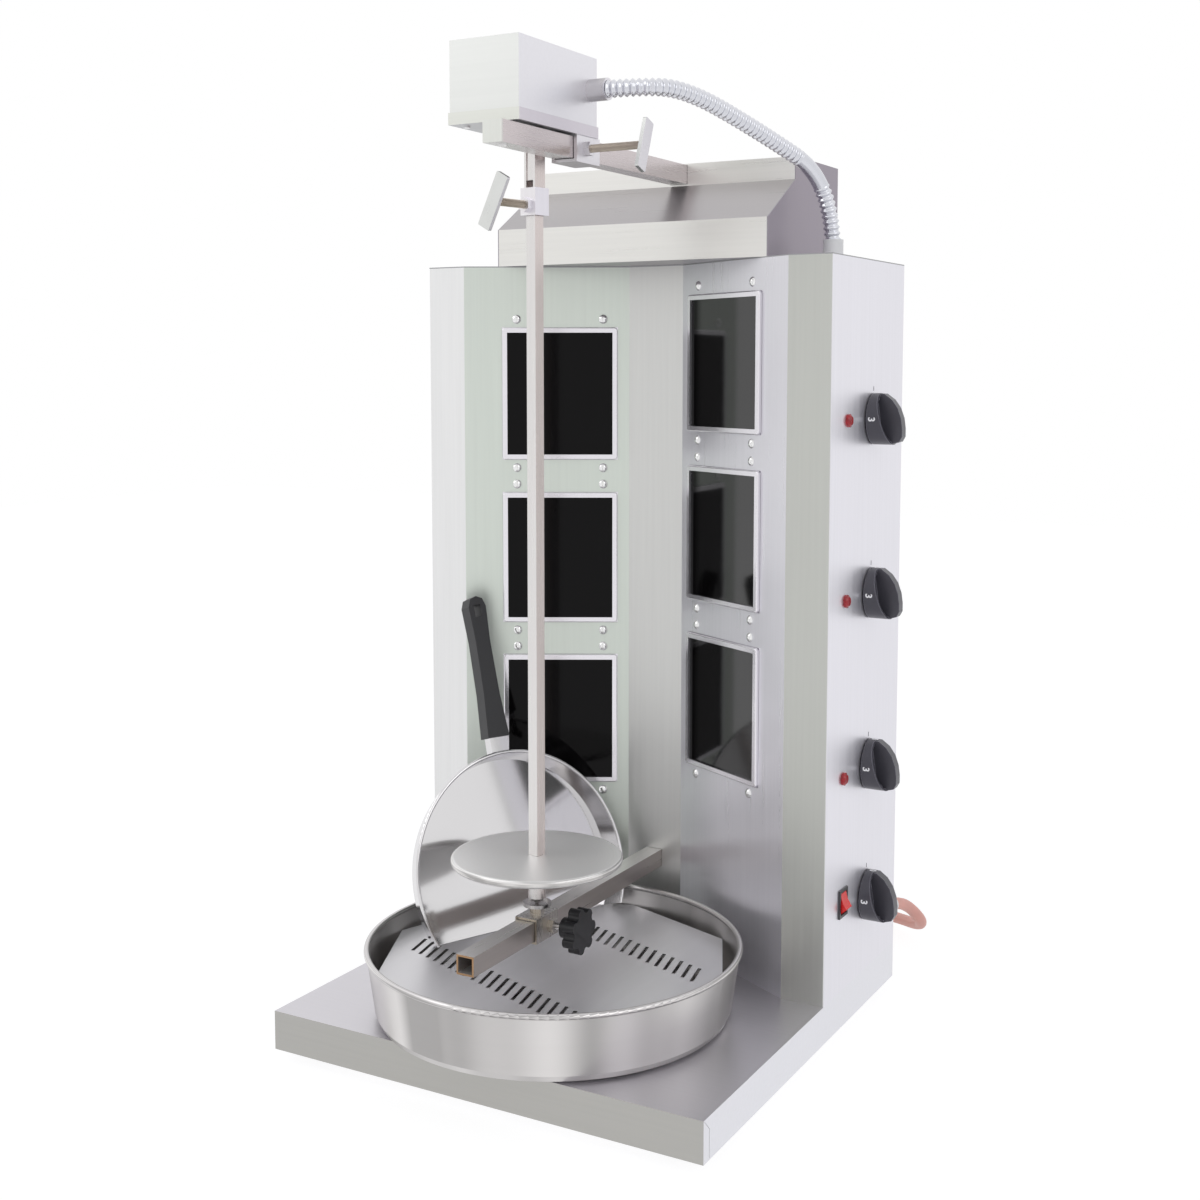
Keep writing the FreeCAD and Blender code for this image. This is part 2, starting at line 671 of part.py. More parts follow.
def make_spit_holder():
    tube = square_bar(HOLDER_SIDE, HOLDER_BOTTOM, HOLDER_TOP)
    tube = tube.cut(square_bar(HOLDER_SIDE - 2 * HOLDER_WALL, HOLDER_BOTTOM, HOLDER_TOP))
    slot = box(-4.6, 4.6, -HOLDER_SIDE, 0, HOLDER_BOTTOM + 2, HOLDER_TOP - 6)
    return spun(tube.cut(slot))


def make_collar():
    block = square_bar(COLLAR_SIDE, COLLAR_LOW, COLLAR_LOW + COLLAR_HEIGHT)
    block = block.cut(square_bar(HOLDER_SIDE + 2 * GAP, COLLAR_LOW, COLLAR_LOW + COLLAR_HEIGHT))
    nut = hexagon(NUT_ACROSS, NUT_THICKNESS, (0, -COLLAR_SIDE / 2, COLLAR_BOLT_Z), (0, -1, 0), 0)
    hole = cylinder(BOLT_RADIUS + BOLT_FIT, COLLAR_SIDE, (0, -COLLAR_SIDE, COLLAR_BOLT_Z), (0, 1, 0))
    return spun(block.fuse(nut).cut(hole))


COLLAR_BOLT_Z = COLLAR_LOW + 10.0
HOLDER_BAR = 56.0
HOLDER_BOLT = 46.0


def make_holder_clamp():
    tip = SPIT_SIDE / 2 + GAP
    face = COLLAR_SIDE / 2
    screw = make_clamp_bolt(tip, face + HOLDER_BOLT, HOLDER_BAR, -28.0)
    return spun(moved(turned(screw, -90.0), 0, 0, COLLAR_BOLT_Z))


def make_spit():
    # square bar on a round foot with a pointed end; the foot's shoulder carries the disc
    bar = square_bar(SPIT_SIDE, SPIT_FOOT_LOW + 10, SPIT_TOP)
    foot = cylinder(SPIT_FOOT_RADIUS, DISC_LOW - SPIT_FOOT_LOW, (0, 0, SPIT_FOOT_LOW))
    point = Part.makeCone(1.5, SPIT_FOOT_RADIUS, SPIT_FOOT_LOW - SPIT_TIP, V(0, 0, SPIT_TIP))
    return spun(fused([bar, foot, point]))


def make_disc():
    disc = cylinder(DISC_RADIUS, DISC_THICKNESS, (0, 0, DISC_LOW))
    disc = disc.makeFillet(3.2, [e for e in disc.Edges if abs(e.BoundBox.XLength - 2 * DISC_RADIUS) < 0.1])
    half = SPIT_SIDE / 2 + GAP
    return spun(disc.cut(box(-half, half, -half, half, DISC_LOW - 1, DISC_LOW + DISC_THICKNESS + 1)))


# Lower slide with its pivot and star knob


SLIDE_FRONT = -192.0
SLIDE_LENGTH = 42.0
PIVOT_NUT = 5.0
STAR_Y = -165.0


def make_lower_slide():
    half = SLIDE_OUT / 2
    block = box(-half, half, SLIDE_FRONT, SLIDE_FRONT + SLIDE_LENGTH,
                LOWER_ARM_Z - half, LOWER_ARM_Z + half)
    inner = LOWER_ARM_SIDE / 2 + SLIDE_GAP
    hollow = box(-inner, inner, -250, -100, LOWER_ARM_Z - inner, LOWER_ARM_Z + inner)
    side_nut = hexagon(NUT_ACROSS, NUT_THICKNESS, (half, STAR_Y, LOWER_ARM_Z), (1, 0, 0), 0)
    top_nut = hexagon(NUT_ACROSS, PIVOT_NUT, (0, SPIT_Y, SLIDE_TOP), (0, 0, 1), 0)
    slide = block.cut(hollow).fuse(side_nut).fuse(top_nut)
    slide = slide.cut(cylinder(BOLT_RADIUS, 10, (0, SPIT_Y, SLIDE_TOP - 1.0)))
    return slide.cut(cylinder(BOLT_RADIUS + BOLT_FIT, 30, (0, STAR_Y, LOWER_ARM_Z), (1, 0, 0)))


def make_pivot_cup():
    stud = cylinder(BOLT_RADIUS, CUP_LOW - SLIDE_TOP + 2.0, (0, SPIT_Y, SLIDE_TOP - 1.0))
    cup = cylinder(14.6, 3.6, (0, SPIT_Y, CUP_LOW))
    cup = cup.cut(cylinder(13.0, 3.0, (0, SPIT_Y, CUP_LOW + CUP_FLOOR)))
    return fused([stud, cup])


STAR_LOBES = 7
STAR_RADIUS = 24.0


def make_star_knob():
    tip = LOWER_ARM_SIDE / 2 + GAP
    screw = cylinder(BOLT_RADIUS, 38.0 - tip, (tip, STAR_Y, LOWER_ARM_Z), (1, 0, 0))
    hub_start = 29.0
    hub_end = 40.0
    star_end = 53.0
    hub = cylinder(10.5, hub_end - hub_start, (hub_start, 0, 0), (1, 0, 0))
    star = cylinder(19.5, star_end - hub_end, (hub_end, 0, 0), (1, 0, 0))
    for i in range(STAR_LOBES):
        angle = 2 * math.pi * i / STAR_LOBES
        centre = (hub_end, 17.5 * math.cos(angle), 17.5 * math.sin(angle))
        star = star.fuse(cylinder(6.5, star_end - hub_end, centre, (1, 0, 0)))
    for i in range(STAR_LOBES):
        angle = 2 * math.pi * (i + 0.5) / STAR_LOBES
        centre = (hub_end - 1, 23.5 * math.cos(angle), 23.5 * math.sin(angle))
        star = star.cut(cylinder(5.0, star_end - hub_end + 2, centre, (1, 0, 0)))
    knob = hub.fuse(star).cut(cylinder(BOLT_RADIUS, 10, (28.0, 0, 0), (1, 0, 0)))
    return screw, moved(knob, 0, STAR_Y, LOWER_ARM_Z)


# Drip pan and its slotted plate


def make_drip_pan():
    top = BASE_TOP + PAN_HEIGHT - RIM_RADIUS
    wall = PAN_RADIUS - RIM_RADIUS
    low = BASE_TOP
    foot = PAN_BASE_RADIUS
    profile = [(0, low), (foot - 9, low), (foot - 3, low + 3), (foot, low + 9),
               (wall + SHEET / 2, top), (wall - SHEET / 2, top), (foot - SHEET, low + 9.4),
               (foot - 3.9, low + 3.9), (foot - 9.2, low + SHEET), (0, low + SHEET)]
    wire = Part.makePolygon([V(r, 0, z) for r, z in profile + profile[:1]])
    pan = Part.Face(wire).revolve(V(0, 0, 0), V(0, 0, 1), 360)
    rim = Part.makeTorus(wall, RIM_RADIUS, V(0, 0, top))
    pan = pan.fuse(rim)
    return moved(pan, 0, PAN_Y, 0)


def make_drip_plate():
    corners = []
    reach = PLATE_INRADIUS / math.cos(math.radians(22.5))
    for i in range(8):
        angle = math.radians(45 * i + 22.5)
        corners.append((reach * math.cos(angle), reach * math.sin(angle)))
    plate = prism(corners, PLATE_LOW, PLATE_LOW + SHEET)
    for row in (-SLOT_ROW, SLOT_ROW):
        for i in range(SLOT_COUNT):
            x = SLOT_STEP * (i - (SLOT_COUNT - 1) / 2)
            slot = box(-2, 2, -18, 18, PLATE_LOW - 1, PLATE_LOW + SHEET + 1)
            slot = turned(slot, 32.0)
            plate = plate.cut(moved(slot, x, row, 0))
    return moved(turned(plate, PLATE_TURN), 0, PAN_Y, 0)


# Scoop: a D shaped pan with one straight open edge and a handle, standing on the plate


def placed_scoop(shape):
    # local x runs along the straight edge, y up the face, z out of the open face
    copy = shape.copy()
    copy.rotate(V(0, 0, 0), V(1, 0, 0), 90.0 - SCOOP_LEAN)
    copy.rotate(V(0, 0, 0), V(0, 0, 1), SCOOP_HEADING)
    copy.translate(V(SCOOP_X, SCOOP_Y, PLATE_LOW + SHEET + GAP))
    return copy


SCOOP_SHEET = 1.2
SCOOP_FLARE = 6.0
SCOOP_BEAD = 2.0
FERRULE_LENGTH = 22.0
HANDLE_LENGTH = 163.0


def make_scoop_dish():
    low = SCOOP_RADIUS - SCOOP_FLARE
    outer = Part.makeCone(low, SCOOP_RADIUS, SCOOP_WALL, V(0, SCOOP_CENTRE, 0))
    inner = Part.makeCone(low - SCOOP_SHEET, SCOOP_RADIUS - SCOOP_SHEET, SCOOP_WALL,
                          V(0, SCOOP_CENTRE, SCOOP_SHEET))
    bead = Part.makeTorus(SCOOP_RADIUS, SCOOP_BEAD, V(0, SCOOP_CENTRE, SCOOP_WALL))
    dish = outer.cut(inner).fuse(bead)
    return dish.common(box(-200, 200, 0, 400, -10, 60)).removeSplitter()


SCOOP_TOP = SCOOP_CENTRE + SCOOP_RADIUS


def make_scoop_grip():
    y0 = SCOOP_TOP - 4
    start = y0 + FERRULE_LENGTH
    end = start + HANDLE_LENGTH
    ferrule = box(-11, 11, y0, start, 4, 16)
    dish = Part.makeCone(SCOOP_RADIUS - SCOOP_FLARE, SCOOP_RADIUS, SCOOP_WALL, V(0, SCOOP_CENTRE, 0))
    ferrule = ferrule.cut(dish)
    ferrule = ferrule.cut(Part.makeTorus(SCOOP_RADIUS, SCOOP_BEAD, V(0, SCOOP_CENTRE, SCOOP_WALL)))
    half = [(14, start), (10.5, start + 50), (9.5, start + 110), (11.5, end - 12), (8, end - 3)]
    outline = half + [(0, end)] + [(-x, y) for x, y in reversed(half)]
    wire = Part.makePolygon([V(x, y, 1) for x, y in outline + outline[:1]])
    handle = Part.Face(wire).extrude(V(0, 0, 17))
    handle = handle.cut(box(-4.5, 4.5, end - 24, end - 10, 0, 30))
    return ferrule, handle


# Controls on the right side


def make_knob(z):
    radius = KNOB_RADIUS
    back = KNOB_BACK
    body = cylinder(radius, KNOB_DEPTH, (back, 0, 0), (1, 0, 0))
    rim = front_prism([(back, radius), (9, radius), (24, -radius), (back, -radius)], -radius, radius)
    skirt = body.common(rim)
    for inset, high, low in ((2.5, 7.5, 20), (6.0, 6, 14)):
        floor = front_prism([(high, radius), (60, radius), (60, -radius), (low, -radius)], -radius, radius)
        recess = cylinder(radius - inset, KNOB_DEPTH, (back, 0, 0), (1, 0, 0)).common(floor)
        skirt = skirt.cut(recess)
    profile = [(back + 2, 27.5), (14, 27.5), (23, 21), (29.5, 12), (33.5, 1), (KNOB_DEPTH, -10),
               (KNOB_DEPTH, -19), (32, -24.5), (22, -27.5), (back + 2, -27.5)]
    bar = front_prism(profile, -6, 6).common(body)
    knob = skirt.fuse(bar)
    knob = knob.fuse(cylinder(SPINDLE_RADIUS, STEM_REACH + back + 3, (-STEM_REACH, 0, 0), (1, 0, 0)))
    return moved(knob.removeSplitter(), HALF, CONTROL_Y, z)


REGULATOR_DEPTH = 40.0
STEM_REACH = 30.0


def make_regulators():
    units = []
    inner = HALF - SHEET
    for z in KNOB_Z:
        block = box(inner - REGULATOR_DEPTH, inner, CONTROL_Y - 20, CONTROL_Y + 20, z - 20, z + 20)
        bush = cylinder(5.0, SHEET, (inner, CONTROL_Y, z), (1, 0, 0))
        bore = cylinder(SPINDLE_RADIUS + RUN_FIT, 60, (HALF - STEM_REACH - 1, CONTROL_Y, z), (1, 0, 0))
        units.append(block.fuse(bush).cut(bore))
    return units


def make_lamps():
    lamps = []
    for z in KNOB_Z[:3]:
        stem = cylinder(5.0, 24, (HALF - 24, LAMP_Y, z), (1, 0, 0))
        flange = cylinder(LAMP_RADIUS, 2.6, (HALF, LAMP_Y, z), (1, 0, 0))
        face = V(HALF + 2.6, LAMP_Y, z)
        dome = Part.makeCone(LAMP_RADIUS - 0.6, LAMP_RADIUS - 2.4, 2.0, face, V(1, 0, 0))
        lamps.append(stem.fuse(flange).fuse(dome))
    return lamps


SWITCH_WIDTH = 24.0
SWITCH_HEIGHT = 31.0


def make_switch_frame():
    y = SWITCH_Y
    z = SWITCH_Z
    plate = box(HALF, HALF + 2, y - SWITCH_WIDTH / 2, y + SWITCH_WIDTH / 2,
                z - SWITCH_HEIGHT / 2, z + SWITCH_HEIGHT / 2)
    body = box(HALF - 22, HALF, y - 10, y + 10, z - 13.5, z + 13.5)
    hollow = box(HALF - 16, HALF + 5, y - 8.6, y + 8.6, z - 12.4, z + 12.4)
    return plate.fuse(body).cut(hollow)


SWITCH_PIVOT = -3.0


def make_rocker():
    # pressed in at the top, so that its crest stands out below the middle
    shape = [(8.0, -5.0), (3.5, 2.5), (1.2, 11.1), (-3, 11.7), (-9, 8), (-9, -8), (-3, -11.7), (1.2, -10.9)]
    body = front_prism([(x, z) for x, z in shape], -8.2, 8.2)
    pin = cylinder(1.5, 16.4, (SWITCH_PIVOT, -8.2, 0), (0, 1, 0))
    return moved(body.fuse(pin), HALF, SWITCH_Y, SWITCH_Z)


def make_control_panel():
    panel = make_side_panel()
    for z in KNOB_Z:
        panel = panel.cut(cylinder(5.0 + GAP, 10, (HALF - 5, CONTROL_Y, z), (1, 0, 0)))
    for z in KNOB_Z[:3]:
        panel = panel.cut(cylinder(5.0 + GAP, 10, (HALF - 5, LAMP_Y, z), (1, 0, 0)))
    hole = box(-5, 5, -10 - GAP, 10 + GAP, -13.5 - GAP, 13.5 + GAP)
    return panel.cut(moved(hole, HALF, SWITCH_Y, SWITCH_Z))


# Routes of straight runs joined by tangent arcs, used by the conduit and the cord


def rounded_route(points, share=0.45):
    # returns the edges and prints the radii of the arcs
    points = [V(*p) for p in points]
    edges = []
    radii = []
    start = points[0]
    for i in range(1, len(points) - 1):
        before = points[i].sub(points[i - 1])
        after = points[i + 1].sub(points[i])
        run = min(before.Length, after.Length)
        before.normalize()
        after.normalize()
        half_turn = before.getAngle(after) / 2
        reach = share * run
        radius = reach / math.tan(half_turn)
        radii.append(round(radius, 1))
        enter = points[i].sub(V(before).multiply(reach))
        leave = points[i].add(V(after).multiply(reach))
        inward = V(after).sub(before)
        inward.normalize()
        middle = points[i].add(inward.multiply(radius / math.cos(half_turn) - radius))
        if enter.sub(start).Length > 1e-4:
            edges.append(Part.makeLine(start, enter))
        edges.append(Part.Arc(enter, middle, leave).toShape())
        start = leave
    edges.append(Part.makeLine(start, points[-1]))
    return edges, radii


def swept(edges, radius):
    wire = Part.Wire(edges)
    first = edges[0]
    at = first.valueAt(first.FirstParameter)
    along = first.tangentAt(first.FirstParameter)
    circle = Part.Wire([Part.makeCircle(radius, at, along)])
    shell = Part.BRepOffsetAPI.MakePipeShell(wire)
    shell.add(circle)
    shell.build()
    shell.makeSolid()
    return shell.shape()


# Flexible conduit from the head to the top plate


CONDUIT_START = HEAD_RIGHT - 2 * SHEET
CONDUIT_ROUTE = [
    (CONDUIT_START, CONDUIT_EXIT_Y, CONDUIT_EXIT_Z),
    (HEAD_RIGHT + 50, CONDUIT_EXIT_Y, CONDUIT_EXIT_Z),
    (HEAD_RIGHT + 82, CONDUIT_EXIT_Y + 45, CONDUIT_EXIT_Z + 2),
    (HEAD_RIGHT + 120, CONDUIT_EXIT_Y + 139, CONDUIT_EXIT_Z - 30),
    (CONDUIT_X, CONDUIT_Y, BODY_TOP + 84),
    (CONDUIT_X, CONDUIT_Y, BODY_TOP - 1),
]


def along(edges, distance):
    # point and direction at a distance along the route
    for edge in edges:
        if distance <= edge.Length:
            break
        distance -= edge.Length
    parameter = edge.getParameterByLength(min(distance, edge.Length))
    return edge.valueAt(parameter), edge.tangentAt(parameter)


def ring_at(edges, distance, radius):
    point, tangent = along(edges, distance)
    steady = V(0.85, -0.52, 0)
    x_axis = steady.sub(V(tangent).multiply(steady.dot(tangent)))
    x_axis.normalize()
    circle = Part.makeCircle(radius)
    facing = FreeCAD.Rotation(x_axis, tangent.cross(x_axis), tangent, "ZXY")
    circle.Placement = FreeCAD.Placement(point, facing)
    return Part.Wire([circle])


# Share of the rib's length and radius of each of its four rings
RIB_SHAPE = ((0.0, CONDUIT_RADIUS), (0.25, RIB_RADIUS), (0.65, RIB_RADIUS), (0.9, CONDUIT_RADIUS))


def make_conduit():
    # long ribbed part from the head, a smooth joint, then a short ribbed part into the gland
    edges, radii = rounded_route(CONDUIT_ROUTE)
    length = Part.Wire(edges).Length
    print("conduit length", round(length, 1), "arc radii", radii)
    joint = length - 2 - (LONG_RIBS + SHORT_RIBS) * RIB_STEP
    starts = [1 + RIB_STEP * i for i in range(LONG_RIBS)]
    starts += [1 + joint + RIB_STEP * (LONG_RIBS + i) for i in range(SHORT_RIBS)]
    rings = []
    for start in starts:
        for share, radius in RIB_SHAPE:
            rings.append(ring_at(edges, start + share * RIB_STEP, radius))
    tube = Part.makeLoft(rings, True, True)
    return tube.cut(swept(edges, CONDUIT_RADIUS - 1.4))


def make_top_gland():
    ring = cylinder(15.0, 4.0, (CONDUIT_X, CONDUIT_Y, BODY_TOP))
    ring = ring.fuse(cylinder(11.0, 22.0, (CONDUIT_X, CONDUIT_Y, BODY_TOP)))
    return ring.cut(cylinder(FITTING_BORE, 40, (CONDUIT_X, CONDUIT_Y, BODY_TOP - 5)))


# Supply cord, its gland, the coil behind the body and the plug

GLAND_RADIUS = 13.0
GLAND_NUT = 14.0


def make_cord_gland():
    y = BODY_DEPTH
    bush = cylinder(BUSH_RADIUS, 12, (GLAND_X, y - 12, GLAND_Z), (0, 1, 0))
    nut = cylinder(GLAND_RADIUS, GLAND_NUT, (GLAND_X, y, GLAND_Z), (0, 1, 0))
    sleeve = Part.makeCone(GLAND_RADIUS, GLAND_RADIUS - 2.5, GLAND_LENGTH - GLAND_NUT,
                           V(GLAND_X, y + GLAND_NUT, GLAND_Z), V(0, 1, 0))
    bore = cylinder(CORD_RADIUS + GAP, 80, (GLAND_X, y - 20, GLAND_Z), (0, 1, 0))
    return bush.fuse(nut).fuse(sleeve).cut(bore)


COIL_X = 40.0
COIL_Y = 345.0
COIL_Z = CORD_RADIUS + 0.2
COIL_OUTER = 100.0
COIL_STEP = 15.0
COIL_HALF_TURNS = 5
COIL_INNER = 45.0
COIL_TAIL = 12.0

CORD_ROUTE = [
    (GLAND_X, BODY_DEPTH - 5.5, GLAND_Z),
    (GLAND_X, BODY_DEPTH + 68.5, GLAND_Z),
    (GLAND_X + 24, BODY_DEPTH + 116.5, GLAND_Z - 52),
    (GLAND_X - 54, BODY_DEPTH + 194.5, COIL_Z + 6.8),
    (COIL_X + 72, COIL_Y + COIL_OUTER, COIL_Z),
    (COIL_X, COIL_Y + COIL_OUTER, COIL_Z),
]


def make_supply_cord():
    edges, radii = rounded_route(CORD_ROUTE)
    wire = Part.Wire(edges)
    tube = swept(edges, CORD_RADIUS)
    section = math.pi * CORD_RADIUS ** 2
    print("cord length", round(wire.Length, 1), "arc radii", radii, "volume check",
          round(tube.Volume / (section * wire.Length), 3))
    return tube, wire.Length


def coil_edges():
    # half turns of shrinking radius in one plane, each tangent to the last, then a quarter turn inward
    edges = []
    radius = COIL_OUTER
    centre = V(COIL_X, COIL_Y, COIL_Z)
    sign = 1
    for i in range(COIL_HALF_TURNS):
        start = centre.add(V(0, sign * radius, 0))
        middle = centre.add(V(-sign * radius, 0, 0))
        end = centre.add(V(0, -sign * radius, 0))
        edges.append(Part.Arc(start, middle, end).toShape())
        centre = centre.add(V(0, -sign * COIL_STEP / 2, 0))
        radius -= COIL_STEP / 2
        sign = -sign
    inner = end.add(V(0, COIL_INNER, 0))
    reach = COIL_INNER * math.sqrt(0.5)
    last = inner.add(V(COIL_INNER, 0, 0))
    edges.append(Part.Arc(end, inner.add(V(reach, -reach, 0)), last).toShape())
    tail = last.add(V(0, COIL_TAIL, 0))
    edges.append(Part.makeLine(last, tail))
    return edges, tail


def least_gap(wire, radius):
    # smallest distance between the surfaces of two turns, measured on points along the wire
    step = 8.0
    points = wire.discretize(Number=int(wire.Length / step))
    apart = int(8 * radius / step)
    least = 1e9
    for i in range(len(points)):
        for j in range(i + apart, len(points)):
            least = min(least, points[i].distanceToPoint(points[j]))
    return least - 2 * radius


def make_cord_coil():
    edges, tail = coil_edges()
    wire = Part.Wire(edges)
    print("coil length", round(wire.Length, 1), "least gap", round(least_gap(wire, CORD_RADIUS), 2))
    return swept(edges, CORD_RADIUS), tail, wire.Length


PLUG_RADIUS = 13.0
PLUG_BODY = 30.0
PIN_LENGTH = 12.0


def make_plug(end):
    z = PLUG_RADIUS + 0.2
    plug = cylinder(PLUG_RADIUS, PLUG_BODY, (end.x, end.y, z), (0, 1, 0))
    for dx in (-9.5, 9.5):
        plug = plug.fuse(cylinder(2.4, PIN_LENGTH, (end.x + dx, end.y + PLUG_BODY, z), (0, 1, 0)))
    return plug


# Small parts that show


def make_arm_stop_screw():
    # under the front end of the upper arm
    z = UPPER_ARM_Z - UPPER_ARM_SIDE / 2
    y = UPPER_ARM_FRONT + STOP_SCREW
    head = cylinder(4.0, 1.6, (UPPER_ARM_X, y, z - 1.6))
    return head.fuse(cylinder(1.5, ARM_WALL + 2, (UPPER_ARM_X, y, z)))


def make_tray_screws():
    # two screws under the left edge of the head
    screws = []
    for y in TRAY_SCREWS:
        head = cylinder(3.2, 1.6, (HEAD_LEFT + 12, y, HEAD_LOW - 1.6))
        screws.append(head.fuse(cylinder(1.4, HEAD_FLOOR + 2, (HEAD_LEFT + 12, y, HEAD_LOW))))
    return screws


save("base_tray", make_base_tray())
save("rubber_feet", make_feet())
save("left_side_panel", mirrored(make_side_panel()))
save("control_panel", make_control_panel())
save("left_heater_panel", mirrored(make_heater_panel(LEFT_TOP_WINDOW)))
save("right_heater_panel", make_heater_panel(RIGHT_TOP_WINDOW))
save("centre_panel", make_centre_panel())
save("back_panel", make_back_panel())
save("top_plate", make_top_plate())
save("hood_shell", make_hood_shell())
save("hood_ends", [make_hood_end(), mirrored(make_hood_end())])

window_sets = {"window_frames": [], "glass_panes": [], "heater_boxes": [],
               "heater_tubes": [], "tube_holders": [], "window_screws": []}
for top in (LEFT_TOP_WINDOW, RIGHT_TOP_WINDOW):
    for level in window_levels(top):
        tubes, blocks = make_heater_elements(level)
        made = {"window_frames": [make_bezel(level)], "glass_panes": [make_pane(level)],
                "heater_boxes": [make_heater_box(level)], "heater_tubes": tubes,
                "tube_holders": blocks, "window_screws": make_window_screws(level)}
        for name, shapes in made.items():
            for shape in shapes:
                window_sets[name].append(mirrored(shape) if top == LEFT_TOP_WINDOW else shape)
for name, shapes in window_sets.items():
    save(name, shapes)

save("upper_arm", make_upper_arm())
save("arm_cap", make_arm_cap())
save("arm_stop_screw", make_arm_stop_screw())
save("lower_arm", make_lower_arm())
save("arm_posts", [make_post(UPPER_ARM_X, BODY_DEPTH - 25, BODY_TOP, UPPER_ARM_Z - UPPER_ARM_SIDE / 2),
                   make_post(0, 170, BASE_TOP, LOWER_ARM_Z - LOWER_ARM_SIDE / 2)])
save("motor_tray", make_motor_tray())
save("motor_cover", make_motor_cover())
save("gearcase", make_gearcase())
save("motor", make_motor())
save("motor_pinion", make_pinion())
save("head_sleeve", make_head_sleeve())
save("tray_screws", make_tray_screws())
save("upper_clamp_screw", make_upper_clamp())
save("head_fitting", make_head_fitting())
save("drive_shaft", make_drive_shaft())
save("spit_holder", make_spit_holder())
save("holder_collar", make_collar())
save("holder_clamp_screw", make_holder_clamp())
save("spit", make_spit())
save("meat_disc", make_disc())
save("lower_slide", make_lower_slide())
save("pivot_cup", make_pivot_cup())
screw, star = make_star_knob()
save("star_screw", screw)
save("star_knob", star)
save("drip_pan", make_drip_pan())
save("drip_plate", make_drip_plate())
save("scoop_dish", placed_scoop(make_scoop_dish()))
ferrule, handle = make_scoop_grip()
save("scoop_ferrule", placed_scoop(ferrule))
save("scoop_handle", placed_scoop(handle))
for number, z in enumerate(KNOB_Z, 1):
    save("knob_" + str(number), make_knob(z))
save("regulators", make_regulators())
save("indicator_lamps", make_lamps())
save("switch_frame", make_switch_frame())
save("rocker", make_rocker())
save("conduit", make_conduit())
save("top_gland", make_top_gland())
save("cord_gland", make_cord_gland())
cord, cord_length = make_supply_cord()
save("supply_cord", cord)
coil, coil_tail, coil_length = make_cord_coil()
save("cord_coil", coil)
save("plug", make_plug(coil_tail))
print("whole cord", round(cord_length + coil_length, 1))
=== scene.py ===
import math
import bpy
from mathutils import Matrix, Vector


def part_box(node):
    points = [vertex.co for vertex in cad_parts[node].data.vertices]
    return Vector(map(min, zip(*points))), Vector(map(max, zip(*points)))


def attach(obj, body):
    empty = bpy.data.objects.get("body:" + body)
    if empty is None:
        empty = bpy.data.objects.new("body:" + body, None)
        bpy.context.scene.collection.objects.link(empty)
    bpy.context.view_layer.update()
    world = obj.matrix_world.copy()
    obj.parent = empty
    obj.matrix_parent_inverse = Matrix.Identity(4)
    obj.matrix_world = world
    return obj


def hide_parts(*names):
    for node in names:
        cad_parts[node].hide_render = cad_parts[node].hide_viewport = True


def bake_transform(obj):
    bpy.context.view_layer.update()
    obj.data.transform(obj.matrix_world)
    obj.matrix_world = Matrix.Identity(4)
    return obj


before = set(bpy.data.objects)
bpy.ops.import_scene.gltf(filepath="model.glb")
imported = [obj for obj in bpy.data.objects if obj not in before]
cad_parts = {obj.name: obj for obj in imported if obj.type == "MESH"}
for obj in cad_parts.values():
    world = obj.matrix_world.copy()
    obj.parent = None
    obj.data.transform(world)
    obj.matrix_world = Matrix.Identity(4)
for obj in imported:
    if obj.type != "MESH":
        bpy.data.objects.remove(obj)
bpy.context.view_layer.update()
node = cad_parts
for left_over in ("Cube", "Light", "Camera"):
    if left_over in bpy.data.objects:
        bpy.data.objects.remove(bpy.data.objects[left_over])


# Base tray: one folded sheet of stainless steel with skirts, brushed along its front.
# It stands on four black rubber feet.

def seen(*colour):
    """A colour as the eye reads it, turned into light values by the usual screen curve."""
    return tuple(v / 12.92 if v <= 0.04045 else ((v + 0.055) / 1.055) ** 2.4 for v in colour) + (1.0,)


def link_chain(tree, *pairs):
    for source, target in pairs:
        tree.links.new(source, target)


